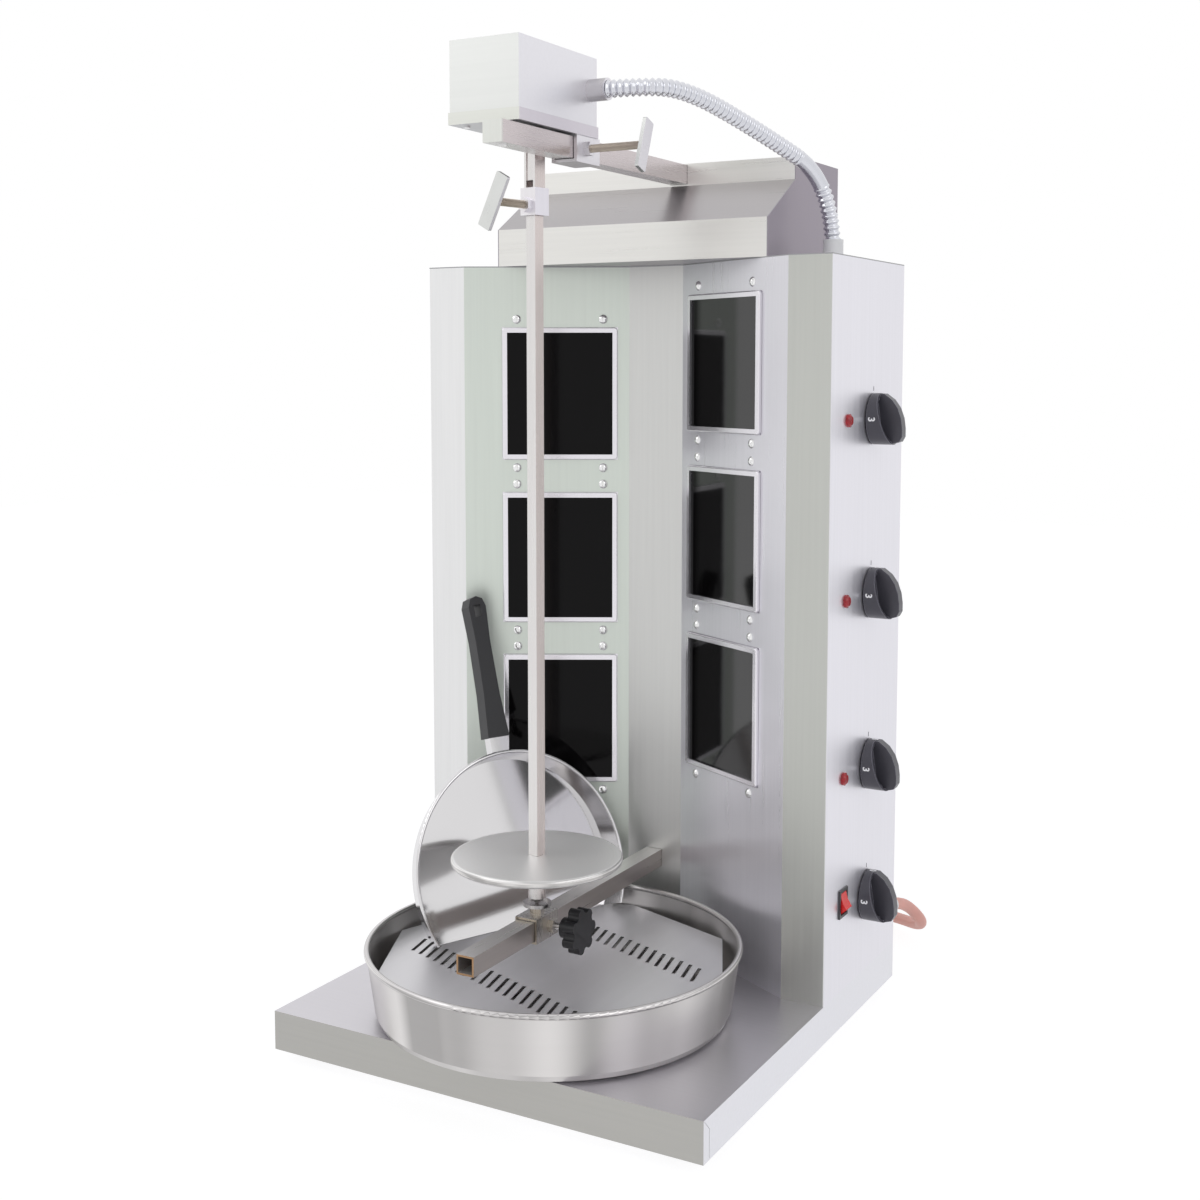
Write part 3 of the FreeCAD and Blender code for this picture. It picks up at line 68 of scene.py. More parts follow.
def make_brushed_group():
    """Painted shade on the folded sheet: one tone each for faces to the front, side and top, a painted shade
    fading to its foot, with fine drawn lines.
    """
    group = bpy.data.node_groups.new("Brushed sheet", "ShaderNodeTree")
    for name, kind in (("Front painted tone", "NodeSocketColor"), ("Side painted tone", "NodeSocketColor"),
                       ("Top painted tone", "NodeSocketColor"), ("Foot shade", "NodeSocketFloat"),
                       ("Foot height", "NodeSocketFloat"), ("Head height", "NodeSocketFloat"),
                       ("Grain", "NodeSocketVector"), ("Streak", "NodeSocketFloat")):
        group.interface.new_socket(name=name, in_out="INPUT", socket_type=kind)
    for name, kind in (("Tone", "NodeSocketColor"), ("Height", "NodeSocketFloat"),
                       ("Gloss", "NodeSocketFloat")):
        group.interface.new_socket(name=name, in_out="OUTPUT", socket_type=kind)
    add = group.nodes.new
    given, out, place = add("NodeGroupInput"), add("NodeGroupOutput"), add("ShaderNodeTexCoord")
    square = add("ShaderNodeVectorMath")
    square.operation = "MULTIPLY"
    parts = add("ShaderNodeSeparateXYZ")
    link_chain(group, (place.outputs["Normal"], square.inputs[0]),
               (place.outputs["Normal"], square.inputs[1]), (square.outputs[0], parts.inputs[0]))
    total = None
    for axis, tone in ((1, "Front painted tone"), (0, "Side painted tone"), (2, "Top painted tone")):
        share = add("ShaderNodeVectorMath")
        share.operation = "SCALE"
        link_chain(group, (given.outputs[tone], share.inputs[0]),
                   (parts.outputs[axis], share.inputs["Scale"]))
        if total:
            both = add("ShaderNodeVectorMath")
            link_chain(group, (total, both.inputs[0]), (share.outputs[0], both.inputs[1]))
            total = both.outputs[0]
        else:
            total = share.outputs[0]
    where = add("ShaderNodeSeparateXYZ")
    painted_foot_shade = add("ShaderNodeMapRange")
    link_chain(group, (place.outputs["Object"], where.inputs[0]),
               (where.outputs[2], painted_foot_shade.inputs["Value"]),
               (given.outputs["Foot height"], painted_foot_shade.inputs["From Min"]),
               (given.outputs["Head height"], painted_foot_shade.inputs["From Max"]),
               (given.outputs["Foot shade"], painted_foot_shade.inputs["To Min"]))
    stretch = add("ShaderNodeVectorMath")
    stretch.operation = "MULTIPLY"
    lines = add("ShaderNodeTexNoise")
    lines.inputs["Scale"].default_value = 1.0
    lines.inputs["Detail"].default_value = 4.0
    broad = add("ShaderNodeTexNoise")
    broad.inputs["Scale"].default_value = 3.0
    broad.inputs["Detail"].default_value = 1.0
    link_chain(group, (place.outputs["Object"], stretch.inputs[0]),
               (given.outputs["Grain"], stretch.inputs[1]), (stretch.outputs[0], lines.inputs["Vector"]),
               (place.outputs["Object"], broad.inputs["Vector"]))
    swing = add("ShaderNodeMath")
    swing.operation = "SUBTRACT"
    swing.inputs[1].default_value = 0.5
    amount = add("ShaderNodeMath")
    amount.operation = "MULTIPLY_ADD"
    amount.inputs[2].default_value = 1.0
    shade = add("ShaderNodeMath")
    shade.operation = "MULTIPLY"
    cloud = add("ShaderNodeMapRange")
    cloud.inputs["To Min"].default_value = 0.97
    cloud.inputs["To Max"].default_value = 1.03
    clouded = add("ShaderNodeMath")
    clouded.operation = "MULTIPLY"
    final = add("ShaderNodeVectorMath")
    final.operation = "SCALE"
    gloss = add("ShaderNodeMapRange")
    for socket, value in (("From Min", 0.3), ("From Max", 0.7), ("To Min", -0.03), ("To Max", 0.03)):
        gloss.inputs[socket].default_value = value
    link_chain(group, (lines.outputs["Fac"], swing.inputs[0]), (swing.outputs[0], amount.inputs[0]),
               (given.outputs["Streak"], amount.inputs[1]), (amount.outputs[0], shade.inputs[0]),
               (painted_foot_shade.outputs["Result"], shade.inputs[1]), (broad.outputs["Fac"], cloud.inputs["Value"]),
               (shade.outputs[0], clouded.inputs[0]), (cloud.outputs["Result"], clouded.inputs[1]),
               (total, final.inputs[0]), (clouded.outputs[0], final.inputs["Scale"]),
               (final.outputs[0], out.inputs["Tone"]), (lines.outputs["Fac"], out.inputs["Height"]),
               (lines.outputs["Fac"], gloss.inputs["Value"]), (gloss.outputs["Result"], out.inputs["Gloss"]))
    return group


brushed_group = make_brushed_group()


# front, side and top are painted tones by facing, standing for shade and reflections; foot scales the tone at
# the bottom as painted shade, and as painted light above one.
def sheet_steel(name, front, side=None, top=None, foot=1.0, heights=(0.0, 1.0), grain=(260, 260, 5),
                streak=0.1, roughness=0.3, relief=0.02, metallic=0.85):
    material = bpy.data.materials.new(name)
    material.use_nodes = True
    tree = material.node_tree
    shader = tree.nodes["Principled BSDF"]
    shader.inputs["Metallic"].default_value = metallic
    sheet = tree.nodes.new("ShaderNodeGroup")
    sheet.node_tree = brushed_group
    sheet.inputs["Front painted tone"].default_value = seen(*front)
    sheet.inputs["Side painted tone"].default_value = seen(*(side or front))
    sheet.inputs["Top painted tone"].default_value = seen(*(top or side or front))
    sheet.inputs["Foot shade"].default_value = foot
    sheet.inputs["Foot height"].default_value = heights[0]
    sheet.inputs["Head height"].default_value = heights[1]
    sheet.inputs["Grain"].default_value = grain
    sheet.inputs["Streak"].default_value = streak
    rough = tree.nodes.new("ShaderNodeMath")
    rough.inputs[1].default_value = roughness
    bump = tree.nodes.new("ShaderNodeBump")
    bump.inputs["Strength"].default_value = relief
    bump.inputs["Distance"].default_value = 0.0004
    link_chain(tree, (sheet.outputs["Tone"], shader.inputs["Base Color"]),
               (sheet.outputs["Gloss"], rough.inputs[0]), (rough.outputs[0], shader.inputs["Roughness"]),
               (sheet.outputs["Height"], bump.inputs["Height"]),
               (bump.outputs["Normal"], shader.inputs["Normal"]))
    return material


def plain(name, colour, roughness, metallic=0.0, mottle=0.06, scale=60.0, relief=0.05):
    """A moulded, cast or plated finish: one colour with an uneven tone and gloss, and a fine skin."""
    material = bpy.data.materials.new(name)
    material.use_nodes = True
    tree = material.node_tree
    shader = tree.nodes["Principled BSDF"]
    shader.inputs["Metallic"].default_value = metallic
    place = tree.nodes.new("ShaderNodeTexCoord")
    spots = tree.nodes.new("ShaderNodeTexNoise")
    spots.inputs["Scale"].default_value = scale
    mix = tree.nodes.new("ShaderNodeMix")
    mix.data_type = "RGBA"
    low = [v * (1 - mottle) for v in colour]
    high = [min(1.0, v * (1 + mottle)) for v in colour]
    mix.inputs["A"].default_value = seen(*low)
    mix.inputs["B"].default_value = seen(*high)
    gloss = tree.nodes.new("ShaderNodeMapRange")
    gloss.inputs["To Min"].default_value = roughness * 0.8
    gloss.inputs["To Max"].default_value = roughness * 1.2
    skin = tree.nodes.new("ShaderNodeTexNoise")
    skin.inputs["Scale"].default_value = 1500.0
    bump = tree.nodes.new("ShaderNodeBump")
    bump.inputs["Strength"].default_value = relief
    bump.inputs["Distance"].default_value = 0.0002
    link_chain(tree, (place.outputs["Object"], spots.inputs["Vector"]),
               (spots.outputs["Fac"], mix.inputs["Factor"]),
               (mix.outputs["Result"], shader.inputs["Base Color"]),
               (spots.outputs["Fac"], gloss.inputs["Value"]),
               (gloss.outputs["Result"], shader.inputs["Roughness"]),
               (place.outputs["Object"], skin.inputs["Vector"]),
               (skin.outputs["Fac"], bump.inputs["Height"]),
               (bump.outputs["Normal"], shader.inputs["Normal"]))
    return material


def finish_nodes(material, *names):
    for name in names:
        for place in node[name].material_slots:
            place.material = material


# The darker front skirt and the lighter side skirts and top are painted shade and painted reflection by
# facing.
base_steel = sheet_steel("Base sheet", (0.70, 0.695, 0.68), (0.88, 0.88, 0.90), (0.84, 0.83, 0.85),
                         grain=(5, 260, 260), roughness=0.36)
finish_nodes(base_steel, "base_tray")
foot_rubber = plain("Foot rubber", (0.10, 0.10, 0.10), 0.8)
finish_nodes(foot_rubber, "rubber_feet")


# Upright body: two side panels with folded front strips, two slanted heater panels, a centre
# panel and the back with its vents, all brushed upwards, and a top plate brushed across.

# These panels are one steel: their different tones per panel and per facing are painted reflection and
# painted shade, and their fades towards the foot are painted shade.
left_steel = sheet_steel("Left side sheet", (0.90, 0.90, 0.90), (0.93, 0.92, 0.94), roughness=0.36)
finish_nodes(left_steel, "left_side_panel", "back_panel")
right_steel = sheet_steel("Control side sheet", (0.755, 0.76, 0.74), (0.90, 0.895, 0.92), foot=0.96,
                          heights=(0.05, 0.6), roughness=0.36)
finish_nodes(right_steel, "control_panel")
left_panel_steel = sheet_steel("Left heater sheet", (0.835, 0.86, 0.83), foot=0.94, heights=(0.1, 0.6),
                               roughness=0.36, metallic=0.75)
finish_nodes(left_panel_steel, "left_heater_panel")
# The right heater panel's brighter foot is a painted reflection.
right_panel_steel = sheet_steel("Right heater sheet", (0.88, 0.875, 0.895), foot=1.2, heights=(0.12, 0.5),
                                roughness=0.3, metallic=0.75)
finish_nodes(right_panel_steel, "right_heater_panel")
centre_steel = sheet_steel("Centre sheet", (0.83, 0.83, 0.82), roughness=0.36, metallic=0.7)
finish_nodes(centre_steel, "centre_panel")
top_steel = sheet_steel("Top sheet", (0.62, 0.62, 0.63), (0.62, 0.62, 0.63), (0.86, 0.86, 0.87),
                        grain=(5, 260, 260), roughness=0.34)
finish_nodes(top_steel, "top_plate")


# Hood: a bent sheet over the top, with painted shade on its slope, and a rougher end plate on each side with
# painted shade.
# The upper arm passes through its front.

hood_steel = sheet_steel("Hood sheet", (0.89, 0.885, 0.87), (0.60, 0.58, 0.61), (0.61, 0.59, 0.61),
                         grain=(5, 260, 260), roughness=0.3)
finish_nodes(hood_steel, "hood_shell")
hood_end_steel = sheet_steel("Hood end sheet", (0.62, 0.60, 0.63), (0.60, 0.57, 0.61), (0.7, 0.69, 0.71),
                             roughness=0.4)
finish_nodes(hood_end_steel, "hood_ends")


# Windows: pressed frames, black heat-proof glass, and dome screws through the panel.
# Behind each pane a steel box holds heater tubes in ceramic blocks.

frame_steel = sheet_steel("Window frame steel", (0.91, 0.90, 0.92), grain=(30, 30, 30), streak=0.04,
                          roughness=0.2, relief=0.01)
finish_nodes(frame_steel, "window_frames")
glass_black = plain("Black glass", (0.035, 0.03, 0.035), 0.07, mottle=0.02, scale=4.0, relief=0.0)
# Painted reflection: panes beyond a set x get a far stronger specular level than the others, though the glass
# is the same.
glass_tree = glass_black.node_tree
glass_place = glass_tree.nodes.new("ShaderNodeTexCoord")
glass_side = glass_tree.nodes.new("ShaderNodeSeparateXYZ")
glass_painted_reflection = glass_tree.nodes.new("ShaderNodeMapRange")
for glass_socket, glass_value in (("From Min", 0.04), ("From Max", 0.05), ("To Min", 0.12), ("To Max", 0.75)):
    glass_painted_reflection.inputs[glass_socket].default_value = glass_value
link_chain(glass_tree, (glass_place.outputs["Object"], glass_side.inputs[0]),
           (glass_side.outputs[0], glass_painted_reflection.inputs["Value"]),
           (glass_painted_reflection.outputs["Result"], glass_tree.nodes["Principled BSDF"].inputs["Specular IOR Level"]))
finish_nodes(glass_black, "glass_panes")
screw_bright = plain("Bright screw", (0.90, 0.90, 0.90), 0.16, metallic=1.0, mottle=0.02, relief=0.01)
finish_nodes(screw_bright, "window_screws", "arm_stop_screw", "tray_screws")
box_steel = sheet_steel("Heater box steel", (0.7, 0.7, 0.7), roughness=0.4)
finish_nodes(box_steel, "heater_boxes", "arm_posts")
heater_ceramic = plain("Heater ceramic", (0.86, 0.83, 0.78), 0.7)
finish_nodes(heater_ceramic, "tube_holders")
heater_quartz = plain("Heater tube", (0.78, 0.74, 0.70), 0.3)
finish_nodes(heater_quartz, "heater_tubes")


# Arms: square stainless tube. The upper one comes out of the hood and has a welded end cap.
# The lower one comes out of the centre panel, and its open end is stained brown.

# Lighter and darker faces of both arms are painted shade by facing; the brown on the lower arm's end faces is
# its stain.
arm_steel = sheet_steel("Upper arm steel", (0.90, 0.90, 0.885), (0.82, 0.785, 0.79), (0.86, 0.85, 0.85),
                        grain=(260, 5, 260), streak=0.07, roughness=0.28)
finish_nodes(arm_steel, "upper_arm")
cap_steel = sheet_steel("Arm cap steel", (0.86, 0.865, 0.845), (0.84, 0.83, 0.82), roughness=0.34)
finish_nodes(cap_steel, "arm_cap")
low_arm_steel = sheet_steel("Lower arm steel", (0.66, 0.53, 0.40), (0.685, 0.655, 0.64), (0.90, 0.89, 0.88),
                            grain=(260, 5, 260), streak=0.14, roughness=0.3, metallic=0.7)
finish_nodes(low_arm_steel, "lower_arm")


# Motor head: a folded tray with a deep cover over the gear motor. A sleeve with a welded nut
# hangs under it and slides on the upper arm.

# The differing face tones of the cover, tray and sleeve, such as the tray's darker top, are painted shade by
# facing.
cover_steel = sheet_steel("Head cover steel", (0.88, 0.885, 0.875), (0.905, 0.90, 0.92), (0.90, 0.90, 0.90),
                          grain=(5, 260, 260), streak=0.06, roughness=0.36)
finish_nodes(cover_steel, "motor_cover")
tray_steel = sheet_steel("Head tray steel", (0.86, 0.865, 0.84), (0.84, 0.82, 0.85), (0.76, 0.76, 0.77),
                         grain=(5, 260, 260), streak=0.06, roughness=0.34)
finish_nodes(tray_steel, "motor_tray")
sleeve_steel = sheet_steel("Sleeve steel", (0.80, 0.79, 0.80), (0.90, 0.89, 0.91), (0.72, 0.71, 0.72),
                           roughness=0.3)
finish_nodes(sleeve_steel, "head_sleeve", "head_fitting")
motor_paint = plain("Motor paint", (0.35, 0.35, 0.36), 0.5)
finish_nodes(motor_paint, "motor", "gearcase")
gear_steel = plain("Gear steel", (0.55, 0.55, 0.56), 0.35, metallic=1.0)
finish_nodes(gear_steel, "motor_pinion")


# Clamp screws: a plated threaded rod with a flat bar welded across its end. The rod is warm
# yellow zinc with its thread showing, the bar is bare brushed steel.

def clamp_steel(name, axis, low, high, bar):
    """Threaded plated rod between two planes across the axis, bare bar beyond them."""
    material = sheet_steel(name, bar[0], bar[1], bar[2], grain=(60, 60, 60), streak=0.05, roughness=0.3)
    tree = material.node_tree
    shader = tree.nodes["Principled BSDF"]
    place = tree.nodes.new("ShaderNodeTexCoord")
    along = tree.nodes.new("ShaderNodeVectorMath")
    along.operation = "DOT_PRODUCT"
    along.inputs[1].default_value = axis
    inside = tree.nodes.new("ShaderNodeMath")
    inside.operation = "COMPARE"
    inside.inputs[1].default_value = (low + high) / 2
    inside.inputs[2].default_value = (high - low) / 2
    blend = tree.nodes.new("ShaderNodeMix")
    blend.data_type = "RGBA"
    blend.inputs["B"].default_value = seen(0.80, 0.75, 0.69)
    turns = tree.nodes.new("ShaderNodeMath")
    turns.operation = "MULTIPLY"
    turns.inputs[1].default_value = 2 * math.pi / THREAD_PITCH
    thread = tree.nodes.new("ShaderNodeMath")
    thread.operation = "SINE"
    only_rod = tree.nodes.new("ShaderNodeMath")
    only_rod.operation = "MULTIPLY"
    cut = tree.nodes.new("ShaderNodeBump")
    cut.inputs["Distance"].default_value = 0.0006
    tone = shader.inputs["Base Color"].links[0].from_socket
    link_chain(tree, (place.outputs["Object"], along.inputs[0]), (along.outputs["Value"], inside.inputs[0]),
               (along.outputs["Value"], turns.inputs[0]), (turns.outputs[0], thread.inputs[0]),
               (thread.outputs[0], only_rod.inputs[0]), (inside.outputs[0], only_rod.inputs[1]),
               (only_rod.outputs[0], cut.inputs["Height"]), (cut.outputs["Normal"], shader.inputs["Normal"]),
               (tone, blend.inputs["A"]), (inside.outputs[0], blend.inputs["Factor"]),
               (blend.outputs["Result"], shader.inputs["Base Color"]))
    return material


def row_point(x, y, z):
    """Millimetres from the body's middle, the plane of its front strips and the floor, to metres."""
    return (x + ROW_SHIFT_X) / 1000, (y + ROW_SHIFT_Y) / 1000, z / 1000


ROW_SHIFT_X = -18.25
ROW_SHIFT_Y = 38.0
SPIT_Y = -170.0
SPIT_TURN = -11.0
THREAD_PITCH = 0.00125
BAR_THICKNESS = 0.0042
HOLDER_ROD_LENGTH = 0.0562
# The bars' three face tones are painted shade by facing.
bare_bar = ((0.85, 0.855, 0.845), (0.86, 0.85, 0.87), (0.76, 0.76, 0.76))
upper_low, upper_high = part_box("upper_clamp_screw")
upper_clamp_steel = clamp_steel("Upper clamp screw", (1, 0, 0), upper_low.x - 0.001,
                                upper_high.x - BAR_THICKNESS, bare_bar)
finish_nodes(upper_clamp_steel, "upper_clamp_screw")
spit_turn = math.radians(SPIT_TURN)
rod_way = Vector((math.sin(spit_turn), -math.cos(spit_turn), 0))
spit_axis = Vector(row_point(0, SPIT_Y, 0))
rod_start = rod_way.dot(spit_axis)
holder_clamp_steel = clamp_steel("Holder clamp screw", tuple(rod_way), rod_start,
                                 rod_start + HOLDER_ROD_LENGTH, bare_bar)
finish_nodes(holder_clamp_steel, "holder_clamp_screw")


# Spit: square bar hung in a slotted square holder, clamped by a collar, pointed at its foot.
# It carries a turned disc and stands in a small cup on the lower slide.

# The face tones of the spit, holder, shaft and collar, with warmer side faces, are painted shade and painted
# reflection by facing.
spit_steel = sheet_steel("Spit steel", (0.88, 0.87, 0.865), (0.84, 0.80, 0.79), (0.8, 0.8, 0.8),
                         grain=(220, 220, 12), streak=0.09, roughness=0.26)
finish_nodes(spit_steel, "spit", "spit_holder", "drive_shaft")
collar_steel = sheet_steel("Collar steel", (0.91, 0.90, 0.91), (0.90, 0.89, 0.92), roughness=0.3)
finish_nodes(collar_steel, "holder_collar")


def make_turned_group():
    """Fine rings around an upright axis, as left by turning, soft painted reflection bands that follow the
    facing, and painted shade between top and wall.
    """
    group = bpy.data.node_groups.new("Turned sheet", "ShaderNodeTree")
    for name, kind in (("Centre", "NodeSocketVector"), ("Rings", "NodeSocketFloat"),
                       ("Tone", "NodeSocketColor"), ("Wall painted tone", "NodeSocketColor"),
                       ("Streak", "NodeSocketFloat")):
        group.interface.new_socket(name=name, in_out="INPUT", socket_type=kind)
    for name, kind in (("Tone", "NodeSocketColor"), ("Height", "NodeSocketFloat")):
        group.interface.new_socket(name=name, in_out="OUTPUT", socket_type=kind)
    add = group.nodes.new
    given, out, place = add("NodeGroupInput"), add("NodeGroupOutput"), add("ShaderNodeTexCoord")
    away = add("ShaderNodeVectorMath")
    away.operation = "SUBTRACT"
    flat = add("ShaderNodeVectorMath")
    flat.operation = "MULTIPLY"
    flat.inputs[1].default_value = (1, 1, 0)
    reach = add("ShaderNodeVectorMath")
    reach.operation = "LENGTH"
    scaled = add("ShaderNodeMath")
    scaled.operation = "MULTIPLY"
    rings = add("ShaderNodeTexNoise")
    rings.noise_dimensions = "1D"
    rings.inputs["Detail"].default_value = 3.0
    rings.inputs["Scale"].default_value = 1.0
    swing = add("ShaderNodeMath")
    swing.operation = "SUBTRACT"
    swing.inputs[1].default_value = 0.5
    amount = add("ShaderNodeMath")
    amount.operation = "MULTIPLY_ADD"
    amount.inputs[2].default_value = 1.0
    facing = add("ShaderNodeSeparateXYZ")
    upward = add("ShaderNodeMath")
    upward.operation = "ABSOLUTE"
    pick = add("ShaderNodeMix")
    pick.data_type = "RGBA"
    painted_reflection_bands = add("ShaderNodeTexNoise")
    painted_reflection_bands.inputs["Scale"].default_value = 2.4
    painted_reflection_bands.inputs["Detail"].default_value = 1.0
    painted_reflection_shade = add("ShaderNodeMapRange")
    for socket, value in (("From Min", 0.38), ("From Max", 0.62), ("To Min", 0.66), ("To Max", 1.22)):
        painted_reflection_shade.inputs[socket].default_value = value
    mixed = add("ShaderNodeMath")
    mixed.operation = "MULTIPLY"
    final = add("ShaderNodeVectorMath")
    final.operation = "SCALE"
    link_chain(group, (place.outputs["Object"], away.inputs[0]), (given.outputs["Centre"], away.inputs[1]),
               (away.outputs[0], flat.inputs[0]), (flat.outputs[0], reach.inputs[0]),
               (reach.outputs["Value"], scaled.inputs[0]), (given.outputs["Rings"], scaled.inputs[1]),
               (scaled.outputs[0], rings.inputs["W"]), (rings.outputs["Fac"], swing.inputs[0]),
               (swing.outputs[0], amount.inputs[0]), (given.outputs["Streak"], amount.inputs[1]),
               (place.outputs["Normal"], facing.inputs[0]), (facing.outputs[2], upward.inputs[0]),
               (upward.outputs[0], pick.inputs["Factor"]), (given.outputs["Wall painted tone"], pick.inputs["A"]),
               (given.outputs["Tone"], pick.inputs["B"]), (pick.outputs["Result"], final.inputs[0]),
               (place.outputs["Normal"], painted_reflection_bands.inputs["Vector"]),
               (painted_reflection_bands.outputs["Fac"], painted_reflection_shade.inputs["Value"]),
               (amount.outputs[0], mixed.inputs[0]), (painted_reflection_shade.outputs["Result"], mixed.inputs[1]),
               (mixed.outputs[0], final.inputs["Scale"]), (final.outputs[0], out.inputs["Tone"]),
               (rings.outputs["Fac"], out.inputs["Height"]))
    return group


turned_group = make_turned_group()


def turned_steel(name, centre, tone, wall, rings=900.0, streak=0.1, roughness=0.26, metallic=1.0):
    material = bpy.data.materials.new(name)
    material.use_nodes = True
    tree = material.node_tree
    shader = tree.nodes["Principled BSDF"]
    shader.inputs["Metallic"].default_value = metallic
    shader.inputs["Roughness"].default_value = roughness
    turned = tree.nodes.new("ShaderNodeGroup")
    turned.node_tree = turned_group
    turned.inputs["Centre"].default_value = centre
    turned.inputs["Rings"].default_value = rings
    turned.inputs["Tone"].default_value = seen(*tone)
    turned.inputs["Wall painted tone"].default_value = seen(*wall)
    turned.inputs["Streak"].default_value = streak
    bump = tree.nodes.new("ShaderNodeBump")
    bump.inputs["Strength"].default_value = 0.03
    bump.inputs["Distance"].default_value = 0.0004
    link_chain(tree, (turned.outputs["Tone"], shader.inputs["Base Color"]),
               (turned.outputs["Height"], bump.inputs["Height"]),
               (bump.outputs["Normal"], shader.inputs["Normal"]))
    return material


# The disc's lighter top than wall, and its bands by facing, are painted shade and painted reflection.
disc_steel = turned_steel("Disc steel", spit_axis, (0.93, 0.925, 0.92), (0.86, 0.85, 0.84),
                          roughness=0.45, metallic=0.6)
finish_nodes(disc_steel, "meat_disc")


# Lower slide: a short square sleeve on the lower arm with two welded nuts and the cup.
# A black star knob on a zinc screw clamps it.

# The slide's lighter top and darker front and sides are painted shade by facing.
slide_steel = sheet_steel("Slide steel", (0.72, 0.68, 0.62), (0.70, 0.68, 0.66), (0.90, 0.89, 0.88),
                          roughness=0.28, metallic=0.8)
finish_nodes(slide_steel, "lower_slide")
zinc_plate = plain("Zinc plate", (0.80, 0.79, 0.79), 0.24, metallic=1.0)
finish_nodes(zinc_plate, "star_screw", "pivot_cup")
star_black = plain("Star knob plastic", (0.13, 0.13, 0.14), 0.38)
finish_nodes(star_black, "star_knob")


# Drip pan and plate: a spun stainless pan with a rolled rim, and an eight-sided slotted plate
# that rests in its sloping wall.

PAN_Y = -136.5
pan_axis = row_point(0, PAN_Y, 0)
# The pan's top and wall tones, and its bands by facing, are painted shade and painted reflection.
pan_steel = turned_steel("Pan steel", pan_axis, (0.82, 0.81, 0.81), (0.80, 0.79, 0.785),
                         rings=400.0, streak=0.05, roughness=0.34, metallic=0.9)
finish_nodes(pan_steel, "drip_pan")
# The plate's dark edges and light top are painted shade by facing.
plate_steel = sheet_steel("Plate steel", (0.5, 0.5, 0.5), (0.5, 0.5, 0.5), (0.92, 0.915, 0.925),
                          grain=(120, 8, 120), streak=0.06, roughness=0.38, metallic=0.6)
finish_nodes(plate_steel, "drip_plate")


# Scoop: a polished dish cut straight on one side, with a bright ferrule and a black handle.
# It stands on the plate and leans back.

scoop_mirror = plain("Scoop polish", (0.85, 0.845, 0.85), 0.10, metallic=1.0, mottle=0.01, scale=8.0,
                     relief=0.005)
finish_nodes(scoop_mirror, "scoop_dish", "scoop_ferrule")
handle_black = plain("Handle plastic", (0.17, 0.17, 0.18), 0.42)
finish_nodes(handle_black, "scoop_handle")


# Controls: four moulded knobs with their numbers, three red lamps and a red rocker switch.
# A fine line is printed on the panel above each knob.

knob_plastic = plain("Knob plastic", (0.285, 0.28, 0.31), 0.34, mottle=0.03)


def painted_edge_highlights(material, highlight_tone, radius):
    """Rounded edges with a painted highlight: a lighter tone where the surface bends sharply."""
    tree = material.node_tree
    shader = tree.nodes["Principled BSDF"]
    soft_edge = tree.nodes.new("ShaderNodeBevel")
    soft_edge.samples = 6
    soft_edge.inputs["Radius"].default_value = radius
    place = tree.nodes.new("ShaderNodeNewGeometry")
    agree = tree.nodes.new("ShaderNodeVectorMath")
    agree.operation = "DOT_PRODUCT"
    edge = tree.nodes.new("ShaderNodeMapRange")
    edge.inputs["From Min"].default_value = 0.998
    edge.inputs["From Max"].default_value = 0.93
    mix = tree.nodes.new("ShaderNodeMix")
    mix.data_type = "RGBA"
    mix.inputs["B"].default_value = seen(*highlight_tone)
    tone = shader.inputs["Base Color"].links[0].from_socket
    link_chain(tree, (soft_edge.outputs["Normal"], agree.inputs[0]),
               (place.outputs["True Normal"], agree.inputs[1]),
               (agree.outputs["Value"], edge.inputs["Value"]), (edge.outputs["Result"], mix.inputs["Factor"]),
               (tone, mix.inputs["A"]), (mix.outputs["Result"], shader.inputs["Base Color"]),
               (soft_edge.outputs["Normal"], shader.inputs["Normal"]))


# The knobs' lighter edges are a painted highlight.
painted_edge_highlights(knob_plastic, (0.56, 0.55, 0.60), 0.0008)
finish_nodes(knob_plastic, "knob_1", "knob_2", "knob_3", "knob_4")
regulator_plastic = plain("Regulator plastic", (0.2, 0.2, 0.2), 0.5)
finish_nodes(regulator_plastic, "regulators")
switch_black = plain("Switch plastic", (0.22, 0.22, 0.23), 0.35)
finish_nodes(switch_black, "switch_frame")
lamp_red = plain("Lamp lens", (0.62, 0.10, 0.14), 0.14, mottle=0.3, scale=300.0)
finish_nodes(lamp_red, "indicator_lamps")
rocker_red = plain("Rocker plastic", (0.93, 0.08, 0.08), 0.22, mottle=0.02)
finish_nodes(rocker_red, "rocker")

white_print = plain("White print", (0.99, 0.99, 0.99), 0.5, mottle=0.0)
grey_print = plain("Grey print", (0.35, 0.35, 0.38), 0.6, mottle=0.02)
PANEL_X = 250.0
CONTROL_Y = 127.5
KNOB_HEIGHTS = (673.0, 481.5, 289.5, 140.0)
SKIRT_RADIUS = 28.0
DIGIT_SIZE = 0.0105
DIGIT_FROM_PANEL = 7.5
DIGIT_PROUD = 0.05
TICK_LOW = 30.5
TICK_HIGH = 35.5
TICK_HALF_WIDTH = 0.4


def print_mark(name, text, size, place):
    """A printed number as a thin raised mesh, put in place by a matrix."""
    letters = bpy.data.curves.new(name, "FONT")
    letters.body = text
    letters.size = size
    letters.align_x = "CENTER"
    letters.align_y = "CENTER"
    letters.extrude = 0.0001
    letters.offset = 0.00028
    holder = bpy.data.objects.new(name + "_text", letters)
    bpy.context.scene.collection.objects.link(holder)
    bpy.context.view_layer.update()
    shown = bpy.context.evaluated_depsgraph_get()
    mesh = bpy.data.meshes.new_from_object(holder.evaluated_get(shown))
    bpy.data.objects.remove(holder)
    mesh.transform(place)
    mesh.materials.clear()
    mesh.materials.append(white_print)
    mark = bpy.data.objects.new(name, mesh)
    bpy.context.scene.collection.objects.link(mark)
    return mark


